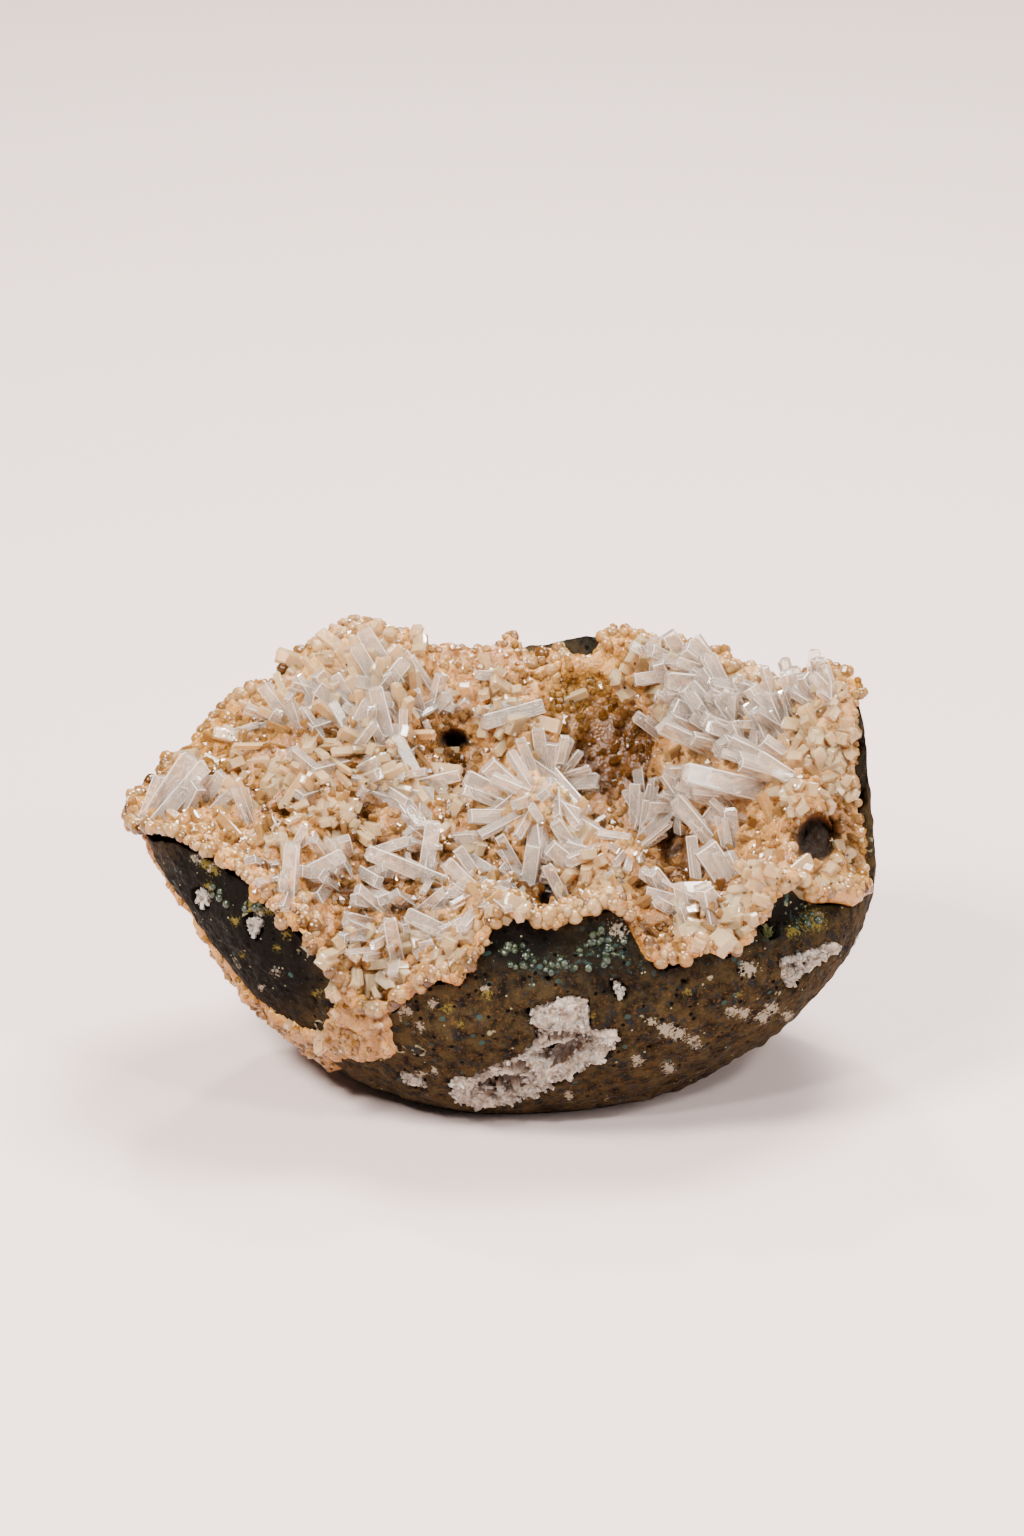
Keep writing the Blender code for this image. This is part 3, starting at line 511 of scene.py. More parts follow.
def crystal_faces(point: Vector, size: float, tilt: float, dome: float = 0.34) -> float:
    """Relief of a mass of small crystals: each Voronoi cell is a face with a tilt of its own.

    Args:
        point: The place, in millimetres.
        size: The size of a crystal.
        tilt: The steepness of the faces.
        dome: How far a cell's middle stands out, in sizes.

    Returns:
        Height in millimetres, about 0 on average.
    """
    distances, centres = noise.voronoi(point / size)
    slope = noise.noise_vector(centres[0] * 5.7)
    return size * (tilt * slope.dot(point / size - centres[0]) + dome * (0.45 - distances[0]))


@dataclass(frozen=True)
class Zone:
    """A round patch, as seen from the front, that is stronger in its middle."""

    across: float
    up: float
    radius: float
    strength: float

    def weight(self, across: np.ndarray, up: np.ndarray) -> np.ndarray:
        """How strong the patch is at seen places."""
        square = (across - self.across) ** 2 + (up - self.up) ** 2
        return self.strength * np.exp(-square / self.radius ** 2)


def zone_sum(zones: Sequence[Zone], points: np.ndarray) -> np.ndarray:
    """How strong several patches are at points in millimetres."""
    up = seen_up(points)
    return sum(zone.weight(points[:, 0], up) for zone in zones)


class Shader:
    """A material whose nodes are laid out by short calls."""

    def __init__(self, name: str) -> None:
        """Start a material with one surface shader."""
        self.material = bpy.data.materials.new(name)
        self.material.use_nodes = True
        self.nodes = self.material.node_tree.nodes
        self.links = self.material.node_tree.links
        self.surface = self.nodes["Principled BSDF"]
        self.place = self.add("ShaderNodeMapping", Scale=(1 / MM, 1 / MM, 1 / MM))
        coordinates = self.add("ShaderNodeTexCoord")
        self.links.new(coordinates.outputs["Object"], self.place.inputs["Vector"])

    def add(self, kind: str, **values: object) -> bpy.types.Node:
        """Add a node and fill its sockets by name, or its properties where it has no such socket."""
        node = self.nodes.new(kind)
        for key, value in values.items():
            socket = node.inputs.get(key.replace("_", " "))
            if socket is not None:
                socket.default_value = value
            else:
                setattr(node, key, value)
        return node

    def join(self, source: bpy.types.NodeSocket, node: bpy.types.Node, socket: str | int) -> None:
        """Link an output to a node's input."""
        self.links.new(source, node.inputs[socket])

    def grain(self, per_mm: float, detail: float = 2.0, roughness: float = 0.5) -> bpy.types.NodeSocket:
        """Smooth noise, with its scale per millimetre."""
        node = self.add("ShaderNodeTexNoise", Scale=per_mm, Detail=detail, Roughness=roughness)
        self.join(self.place.outputs[0], node, "Vector")
        return node.outputs["Fac"]

    def cells(self, per_mm: float) -> bpy.types.Node:
        """Voronoi cells, with their scale per millimetre."""
        node = self.add("ShaderNodeTexVoronoi", Scale=per_mm)
        self.join(self.place.outputs[0], node, "Vector")
        return node

    def layer(self, name: str) -> bpy.types.NodeSocket:
        """A number that the mesh holds for each point."""
        return self.add("ShaderNodeAttribute", attribute_name=name).outputs["Fac"]

    def between(self, value: bpy.types.NodeSocket, low: float, high: float,
                to_low: float = 0.0, to_high: float = 1.0) -> bpy.types.NodeSocket:
        """Stretch a value's range to another, clamped."""
        node = self.add("ShaderNodeMapRange")
        self.join(value, node, "Value")
        for socket, number in zip(("From Min", "From Max", "To Min", "To Max"),
                                  (low, high, to_low, to_high)):
            node.inputs[socket].default_value = number
        return node.outputs["Result"]

    def maths(self, operation: str, a: bpy.types.NodeSocket | float,
              b: bpy.types.NodeSocket | float) -> bpy.types.NodeSocket:
        """One sum of two values, each an output or a number."""
        node = self.add("ShaderNodeMath", operation=operation)
        for index, value in enumerate((a, b)):
            if isinstance(value, (int, float)):
                node.inputs[index].default_value = value
            else:
                self.join(value, node, index)
        return node.outputs[0]

    def blend(self, amount: bpy.types.NodeSocket, first: object, second: object) -> bpy.types.NodeSocket:
        """Mix two colours, each an output or red, green and blue."""
        node = self.add("ShaderNodeMix", data_type="RGBA")
        self.join(amount, node, 0)
        for index, colour in ((6, first), (7, second)):
            if isinstance(colour, tuple):
                node.inputs[index].default_value = (*colour, 1.0)
            else:
                self.join(colour, node, index)
        return node.outputs[2]

    def bump(self, height: bpy.types.NodeSocket, strength: float, depth_mm: float) -> None:
        """Let a height raise the surface a little, over any bump already there."""
        node = self.add("ShaderNodeBump", Strength=strength, Distance=depth_mm * MM)
        self.join(height, node, "Height")
        if self.surface.inputs["Normal"].is_linked:
            self.join(self.surface.inputs["Normal"].links[0].from_socket, node, "Normal")
        self.join(node.outputs[0], self.surface, "Normal")

    def set(self, **values: object) -> None:
        """Fill the surface shader's own sockets."""
        for key, value in values.items():
            self.surface.inputs[key.replace("_", " ")].default_value = value


@dataclass(frozen=True)
class CrustFinish:
    """Peach to cream heulandite: sugary, a little translucent, orange in its hollows, partly its own
    colour and partly painted shade, and near black in its holes as painted shade.
    """

    name: str = "peach heulandite"
    cream: Triple = (0.45, 0.203, 0.050)
    pale: Triple = (0.56, 0.31, 0.11)
    tan: Triple = (0.24, 0.085, 0.014)
    # Rust is partly the crust's own orange and partly painted shade: recesses, crevices and shaded gaps
    # are blended towards it.
    rust: Triple = (0.088, 0.029, 0.003)
    ochre: Triple = (0.38, 0.17, 0.020)
    speck: Triple = (0.045, 0.02, 0.01)
    # Painted shade: near-black brown laid into the crust's holes, darker the deeper the hole.
    hole: Triple = (0.010, 0.004, 0.0015)
    translucency: float = 0.35
    clearness: float = 0.0
    roughness_of_grain: float = 0.6
    gloss: Pair = (0.08, 0.42)

    def material(self) -> bpy.types.Material:
        """Build the finish."""
        shader = Shader(self.name)
        mottle = shader.between(shader.grain(0.16, 3.0), 0.36, 0.66)
        colour = shader.blend(mottle, self.tan, self.cream)
        sugar = shader.between(shader.grain(1.1, 2.0), 0.45, 0.7)
        colour = shader.blend(shader.maths("MULTIPLY", sugar, 0.45), colour, self.pale)
        colour = shader.blend(shader.layer("pale"), colour, self.pale)
        # Painted shade, partly real tint: this layer darkens recesses, crevices and gaps towards rust.
        colour = shader.blend(shader.layer("rust_tint_and_shade"), colour, self.rust)
        colour = shader.blend(shader.layer("edge"), colour, self.ochre)
        dots = shader.cells(0.55)
        dot = shader.between(dots.outputs["Distance"], 0.15, 0.1)
        chosen = shader.between(dots.outputs["Color"], 0.34, 0.32)
        colour = shader.blend(shader.maths("MULTIPLY", dot, chosen), colour, self.speck)
        # Painted shade: the holes are coloured near black.
        colour = shader.blend(shader.layer("hole"), colour, self.hole)
        shader.join(colour, shader.surface, "Base Color")
        glints = shader.cells(2.1)
        gloss = shader.between(glints.outputs["Color"], 0.3, 0.62, *self.gloss)
        gloss = shader.maths("ADD", gloss, shader.maths("MULTIPLY", shader.layer("hole"), 0.6))
        shader.join(gloss, shader.surface, "Roughness")
        shader.bump(shader.grain(2.2, 3.0, 0.55), self.roughness_of_grain, 0.3)
        shader.bump(glints.outputs["Distance"], self.roughness_of_grain, 0.25)
        shader.set(IOR=1.5, Subsurface_Weight=self.translucency, Subsurface_Scale=1.0 * MM,
                   Subsurface_Radius=(1.6, 0.9, 0.5), Transmission_Weight=self.clearness)
        return shader.material


CLEAR_HEULANDITE = CrustFinish(
    name="clear heulandite", cream=(0.55, 0.275, 0.076), pale=(0.69, 0.44, 0.19),
    tan=(0.33, 0.14, 0.03), translucency=0.3, clearness=0.45, roughness_of_grain=0.05,
    gloss=(0.03, 0.16))
ROUNDED_HEULANDITE = CrustFinish(
    name="rounded heulandite", cream=(0.51, 0.255, 0.078), pale=(0.68, 0.44, 0.21),
    tan=(0.29, 0.12, 0.028), translucency=0.4, clearness=0.35, roughness_of_grain=0.1,
    gloss=(0.04, 0.2))
CLOUDY_HEULANDITE = CrustFinish(
    name="cloudy heulandite", cream=(0.94, 0.69, 0.40), pale=(0.95, 0.80, 0.58),
    tan=(0.86, 0.56, 0.27), translucency=0.25, clearness=0.7, roughness_of_grain=0.04,
    gloss=(0.03, 0.14))


@dataclass(frozen=True)
class CalciteFinish:
    """Colourless calcite: see-through, with faint veils and growth lines along each blade."""

    name: str = "clear calcite"
    body: Triple = (1.0, 0.875, 0.75)
    clearness: float = 0.84
    roughness: float = 0.03
    absorption: Triple = (0.93, 0.88, 0.83)
    density: float = 15.0

    def material(self) -> bpy.types.Material:
        """Build the finish."""
        shader = Shader(self.name)
        shader.set(Base_Color=(*self.body, 1.0), IOR=1.49, Transmission_Weight=self.clearness)
        veil = shader.between(shader.grain(0.8, 3.0), 0.5, 0.75, self.roughness, self.roughness + 0.15)
        shader.join(veil, shader.surface, "Roughness")
        lines = shader.add("ShaderNodeUVMap", uv_map="growth")
        stretch = shader.add("ShaderNodeMapping", Scale=(7.0, 0.4, 1.0))
        shader.join(lines.outputs[0], stretch, "Vector")
        striation = shader.add("ShaderNodeTexNoise", Scale=1.0, Detail=2.0)
        shader.join(stretch.outputs[0], striation, "Vector")
        shader.bump(striation.outputs["Fac"], 0.09, 0.07)
        shade = shader.add("ShaderNodeVolumeAbsorption", Color=(*self.absorption, 1.0),
                           Density=self.density)
        output = shader.nodes["Material Output"]
        shader.join(shade.outputs[0], output, "Volume")
        return shader.material


@dataclass(frozen=True)
class CalciteRimHighlightFinish:
    """A milkier, rougher copy of the calcite for the narrow faces along a blade's edges: a painted
    highlight that makes them look bright.
    """

    body: Triple = (0.98, 0.86, 0.765)
    clearness: float = 0.5
    roughness: float = 0.16

    def material(self) -> bpy.types.Material:
        """Build the finish."""
        shader = Shader("calcite rim highlight")
        shader.set(Base_Color=(*self.body, 1.0), IOR=1.49, Transmission_Weight=self.clearness,
                   Roughness=self.roughness)
        return shader.material


@dataclass(frozen=True)
class BasaltFinish:
    """Fine-grained basalt: brown-black and matte, rusty in places, with flecks and black pits; the black
    in the pits and on the shelf under the front lip is painted shade.
    """

    name: str = "dark basalt"
    brown: Triple = (0.045, 0.0295, 0.0125)
    black: Triple = (0.0055, 0.0045, 0.0035)
    rust: Triple = (0.11, 0.043, 0.010)
    slate: Triple = (0.009, 0.012, 0.014)
    teal: Triple = (0.025, 0.045, 0.040)
    cream: Triple = (0.22, 0.20, 0.12)
    green: Triple = (0.017, 0.031, 0.026)
    chalk: Triple = (0.24, 0.20, 0.145)
    olive: Triple = (0.10, 0.075, 0.016)
    # Painted shade: near black laid into the bubble pits and the small holes.
    pit: Triple = (0.0025, 0.002, 0.002)

    def material(self) -> bpy.types.Material:
        """Build the finish."""
        shader = Shader(self.name)
        mottle = shader.between(shader.grain(0.5, 4.0, 0.65), 0.36, 0.6)
        colour = shader.blend(mottle, self.black, self.brown)
        patches = shader.between(shader.grain(0.6, 4.0, 0.7), 0.55, 0.6)
        colour = shader.blend(shader.maths("MULTIPLY", patches, 0.9), colour, self.slate)
        fine = shader.between(shader.grain(2.4, 3.0, 0.7), 0.56, 0.66)
        colour = shader.blend(shader.maths("MULTIPLY", fine, 0.75), colour, self.rust)
        # Painted shade, partly real: black on the shadowed shelf under the front lip, and on the stone's
        # own black patches.
        colour = shader.blend(shader.layer("black_and_shade"), colour, self.black)
        colour = shader.blend(self.spots(shader, 0.55, 0.26, 0.30), colour, self.teal)
        colour = shader.blend(self.spots(shader, 0.95, 0.17, 0.27), colour, self.cream)
        colour = shader.blend(self.rings(shader), colour, self.cream)
        for layer, tint, size in (("green", self.green, 1.1), ("chalk", self.chalk, 1.9),
                                  ("olive", self.olive, 2.3)):
            crumbs = shader.maths("MULTIPLY", shader.grain(size, 4.0, 0.75), 3.0)
            broken = shader.maths("ADD", shader.layer(layer), crumbs)
            colour = shader.blend(shader.between(broken, 2.06, 2.26), colour, tint)
        # Painted shade: small holes drawn near black, and bumped in below.
        holes = self.spots(shader, 0.72, 0.24, 0.46)
        colour = shader.blend(holes, colour, self.pit)
        # Painted shade: the bubble pits darkened by their depth.
        colour = shader.blend(shader.layer("pit"), colour, self.pit)
        shader.join(colour, shader.surface, "Base Color")
        dullness = shader.between(shader.grain(1.4, 2.0), 0.3, 0.7, 0.45, 0.85)
        shader.join(dullness, shader.surface, "Roughness")
        shader.set(Specular_IOR_Level=0.02)
        shader.bump(shader.grain(1.3, 5.0, 0.65), 0.6, 0.38)
        shader.bump(shader.grain(5.0, 2.0), 0.5, 0.14)
        shader.bump(shader.maths("SUBTRACT", 1.0, holes), 0.8, 0.3)
        return shader.material

    @staticmethod
    def spots(shader: Shader, per_mm: float, size: float, share: float) -> bpy.types.NodeSocket:
        """Scattered small spots, in a share of the cells only."""
        cells = shader.cells(per_mm)
        near = shader.between(cells.outputs["Distance"], size, size * 0.72)
        chosen = shader.between(cells.outputs["Color"], share, share - 0.02)
        return shader.maths("MULTIPLY", near, chosen)

    @staticmethod
    def rings(shader: Shader) -> bpy.types.NodeSocket:
        """A few small bubbles whose rims are lined with a pale mineral."""
        cells = shader.cells(0.27)
        outer = shader.between(cells.outputs["Distance"], 0.30, 0.27)
        inner = shader.between(cells.outputs["Distance"], 0.16, 0.20)
        chosen = shader.between(cells.outputs["Color"], 0.26, 0.24)
        broken = shader.between(shader.grain(1.3, 2.0), 0.46, 0.58)
        ring = shader.maths("MULTIPLY", shader.maths("MULTIPLY", outer, inner), chosen)
        return shader.maths("MULTIPLY", ring, broken)


@dataclass(frozen=True)
class MineralFinish:
    """A small mineral filling: one colour that drifts to a second, with a fine crystal grain."""

    name: str
    first: Triple
    second: Triple
    # Painted shade and real stain: the dark brown of the linings' hollows and of their stains.
    deep_shade_and_stain: Triple = (0.050, 0.027, 0.013)
    roughness: float = 0.3
    translucency: float = 0.25
    clearness: float = 0.0

    def material(self) -> bpy.types.Material:
        """Build the finish."""
        shader = Shader(self.name)
        drift = shader.between(shader.grain(0.7, 4.0, 0.6), 0.35, 0.65)
        colour = shader.blend(drift, self.first, self.second)
        # Painted shade in the hollows, with real stains.
        colour = shader.blend(shader.layer("deep_shade_and_stain"), colour, self.deep_shade_and_stain)
        shader.join(colour, shader.surface, "Base Color")
        shader.bump(shader.grain(3.0, 4.0, 0.6), 0.5, 0.2)
        shader.bump(shader.cells(1.9).outputs["Distance"], 0.4, 0.2)
        shader.set(Roughness=self.roughness, Subsurface_Weight=self.translucency,
                   Subsurface_Scale=0.6 * MM, Subsurface_Radius=(2.0, 1.6, 1.2),
                   Transmission_Weight=self.clearness)
        return shader.material


WHITE_QUARTZ = MineralFinish("white quartz", (0.50, 0.41, 0.33), (0.15, 0.105, 0.07))
CLEAR_QUARTZ = MineralFinish("clear quartz", (0.62, 0.56, 0.49), (0.40, 0.33, 0.27),
                             clearness=0.5, roughness=0.15)
OLIVE_FILLING = MineralFinish("olive filling", (0.05, 0.056, 0.012), (0.10, 0.105, 0.028))
GREEN_CELADONITE = MineralFinish("green celadonite", (0.010, 0.021, 0.016), (0.034, 0.044, 0.015),
                                 clearness=0.2, roughness=0.2)


@dataclass(frozen=True)
class FloorFinish:
    """A plain pale paper sweep."""

    colour: Triple = (0.70, 0.555, 0.515)

    def material(self) -> bpy.types.Material:
        """Build the finish."""
        shader = Shader("pale floor")
        shade = shader.between(shader.grain(0.01, 1.0), 0.3, 0.7)
        near = tuple(part * 0.985 for part in self.colour)
        shader.join(shader.blend(shade, near, self.colour), shader.surface, "Base Color")
        shader.set(Roughness=0.65)
        return shader.material


class Tip(Enum):
    """How a blade ends."""

    FLAT = "flat"
    SLANTED = "slanted"
    BLUNT = "blunt"


# How far the face at a blade's end is drawn in and out, in widths
TIP_INSETS = {Tip.FLAT: (0.05, 0.04), Tip.SLANTED: (0.12, 0.12 * 0.8), Tip.BLUNT: (0.2, 0.2 * 0.8)}
TIP_SLANT = 24.0

# A blade's narrow faces are slanted, or they are small and lie at its end
RIM_SLANT = 0.95
RIM_START = 1.97
RIM_AREA = 0.1


@dataclass
class BladePattern:
    """One blade, modelled once: its section, and points near its end held at their true size."""

    tip: Tip
    section: float = 0.68
    edge: float = 0.065
    points: np.ndarray = field(init=False)
    faces: list[tuple[int, ...]] = field(init=False)
    rims: list[bool] = field(init=False)

    def __post_init__(self) -> None:
        """Model the blade, one wide and two long, and keep its points and faces."""
        bpy.ops.object.select_all(action="DESELECT")
        bpy.ops.mesh.primitive_cube_add(size=1.0, location=(0, 0, 1.0), scale=(1, self.section, 2.0))
        block = bpy.context.active_object
        bpy.ops.object.transform_apply(location=True, rotation=False, scale=True)
        bpy.ops.object.mode_set(mode="EDIT")
        bpy.ops.mesh.select_mode(type="EDGE")
        if self.edge:
            self.select_long_edges(block)
            bpy.ops.mesh.bevel(offset=self.edge, offset_type="OFFSET", segments=1, affect="EDGES")
        self.select_end(block)
        inset, depth = TIP_INSETS[self.tip]
        bpy.ops.mesh.inset(thickness=inset, depth=depth)
        if self.tip is Tip.SLANTED:
            bpy.ops.transform.rotate(value=math.radians(TIP_SLANT), orient_axis="Y",
                                     center_override=(0, 0, 2.0))
        bpy.ops.object.mode_set(mode="OBJECT")
        self.points = points_of(block.data) * MM
        self.faces = [tuple(f.vertices) for f in block.data.polygons]
        self.rims = [self.is_rim(f) for f in block.data.polygons]
        bpy.data.objects.remove(block)

    def is_rim(self, face: bpy.types.MeshPolygon) -> bool:
        """Whether a face is one of the narrow ones along an edge."""
        largest = max(abs(part) for part in face.normal)
        at_end = face.center.z > RIM_START
        return (largest < RIM_SLANT and not at_end) or (at_end and face.area < RIM_AREA)

    def select_long_edges(self, block: bpy.types.Object) -> None:
        """Select the four edges that run along the blade."""
        bpy.ops.mesh.select_all(action="DESELECT")
        bpy.ops.object.mode_set(mode="OBJECT")
        for edge in block.data.edges:
            a, b = (block.data.vertices[i].co for i in edge.vertices)
            edge.select = abs(a.z - b.z) > 1.0
        bpy.ops.object.mode_set(mode="EDIT")

    def select_end(self, block: bpy.types.Object) -> None:
        """Select the face at the blade's end."""
        bpy.ops.mesh.select_mode(type="FACE")
        bpy.ops.mesh.select_all(action="DESELECT")
        bpy.ops.object.mode_set(mode="OBJECT")
        for face in block.data.polygons:
            face.select = face.center.z > 1.9 and face.normal.z > 0.9
        bpy.ops.object.mode_set(mode="EDIT")

    def sized(self, length: float, width: float, taper: float) -> np.ndarray:
        """The blade's points at a length and width, with its end kept in proportion."""
        points = self.points.copy()
        near_end = points[:, 2] > 1.0
        points[near_end, 2] += length / width - 2.0
        narrowing = 1.0 - taper * np.clip(points[:, 2] * width / length, 0, 1)
        points[:, :2] *= narrowing[:, None]
        return points * width


@dataclass
class NodulePattern:
    """One small crystal head, modelled once: a few facets, or a rounded knob."""

    rounded: bool = False
    points: np.ndarray = field(init=False)
    faces: list[tuple[int, ...]] = field(init=False)
    rims: list[bool] = field(init=False)

    def __post_init__(self) -> None:
        """Model the ball, one wide, and keep its points and faces."""
        bpy.ops.object.select_all(action="DESELECT")
        if self.rounded:
            bpy.ops.mesh.primitive_uv_sphere_add(segments=8, ring_count=6, radius=0.5)
        else:
            bpy.ops.mesh.primitive_ico_sphere_add(subdivisions=1, radius=0.5)
        ball = bpy.context.active_object
        self.points = points_of(ball.data) * MM
        self.faces = [tuple(f.vertices) for f in ball.data.polygons]
        self.rims = [False] * len(self.faces)
        bpy.data.objects.remove(ball)

    def sized(self, length: float, width: float, taper: float) -> np.ndarray:
        """The ball's points stretched to a length and width, and flattened by a share."""
        return self.points * np.array((width, width * (1 - taper), length))


@dataclass
class CrystalBatch:
    """Many small crystals of a few patterns, gathered into one mesh."""

    name: str
    points: list[np.ndarray] = field(default_factory=list)
    faces: list[tuple[int, ...]] = field(default_factory=list)
    growth: list[Pair] = field(default_factory=list)
    rims: list[bool] = field(default_factory=list)
    layers: dict[str, list[np.ndarray]] = field(default_factory=dict)
    count: int = 0
    smooth: bool = False

    def grow(self, local: np.ndarray, pattern: BladePattern | NodulePattern, turn: Matrix,
             place: Vector, **layers: float) -> None:
        """Add one crystal, unless it would stand too far out of the stone's own bounds.

        Args:
            local: Its points, in millimetres, with Z along it.
            pattern: The pattern it has its faces from.
            turn: Its turn.
            place: Its foot, in millimetres.
            **layers: Numbers that its points hold for the material.
        """
        placed = local @ np.array(turn).T + np.array(place)
        if (placed < np.array(LOWEST)).any() or (placed > np.array(HIGHEST)).any():
            return
        self.points.append(placed)
        self.faces += [tuple(self.count + i for i in f) for f in pattern.faces]
        self.rims += pattern.rims
        drift_size, drift = GROWTH_DRIFT
        shift = noise.noise(place / drift_size) * drift
        for face in pattern.faces:
            for i in face:
                around = math.atan2(local[i, 1], local[i, 0])
                self.growth.append((around + shift, local[i, 2] + shift))
        for key, value in layers.items():
            self.layers.setdefault(key, []).append(np.full(len(local), value))
        self.count += len(local)

    def finish(self) -> bpy.types.Object:
        """Make the object of all its crystals."""
        mesh = bpy.data.meshes.new(self.name)
        mesh.from_pydata(np.vstack(self.points) * MM, [], self.faces)
        uv = mesh.uv_layers.new(name="growth")
        uv.data.foreach_set("uv", np.array(self.growth, dtype=np.float32).ravel())
        for key, values in self.layers.items():
            set_layer(mesh, key, np.concatenate(values))
        # Edge faces take the second finish where a piece has one; on the calcite that is the milkier
        # copy that paints a highlight.
        mesh.polygons.foreach_set("material_index", [int(rim) for rim in self.rims])
        obj = add_object(self.name, mesh)
        shade(obj, self.smooth)
        return obj


def grow_out(batch: CrystalBatch, pick: random.Random, pattern: BladePattern | NodulePattern,
             place: Vector, normal: Vector, sizes: Pair, slimness: float, **layers: float) -> None:
    """Grow one crystal out of a surface, at a random turn near its normal.

    Args:
        batch: The batch it joins.
        pick: Where its random sizes and turns come from.
        pattern: Its pattern.
        place: The place on the surface, in millimetres.
        normal: The way out of the surface there.
        sizes: Its least and greatest width.
        slimness: About how many times as long as wide it is.
        **layers: Numbers that its points hold for the material.
    """
    width = pick.uniform(*sizes)
    length = width * pick.uniform(0.8, 1.5) * slimness
    stray = Vector([pick.gauss(0, 0.55) for _ in range(3)])
    direction = (normal + stray).normalized()
    local = pattern.sized(length, width, 0.1)
    root = PRISM_ROOT if slimness > 1 else GRAIN_ROOT
    turn = facing(direction, pick.uniform(0, 180))
    batch.grow(local, pattern, turn, place - direction * length * root, **layers)


def dress(obj: bpy.types.Object, materials: Sequence[bpy.types.Material], slot: str,
          *nodes: str) -> None:
    """Give a piece its finishes and its body, and hide the nodes it stands for."""
    kept = [face.material_index for face in obj.data.polygons]
    obj.data.materials.clear()
    for material in materials:
        obj.data.materials.append(material)
    last = len(materials) - 1
    obj.data.polygons.foreach_set("material_index", [min(index, last) for index in kept])
    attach(obj, "root")
    if nodes:
        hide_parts(*nodes)
    faces = sum(len(f.vertices) - 2 for f in obj.data.polygons)
    LOG.info("%s: %d triangles", obj.name, faces)


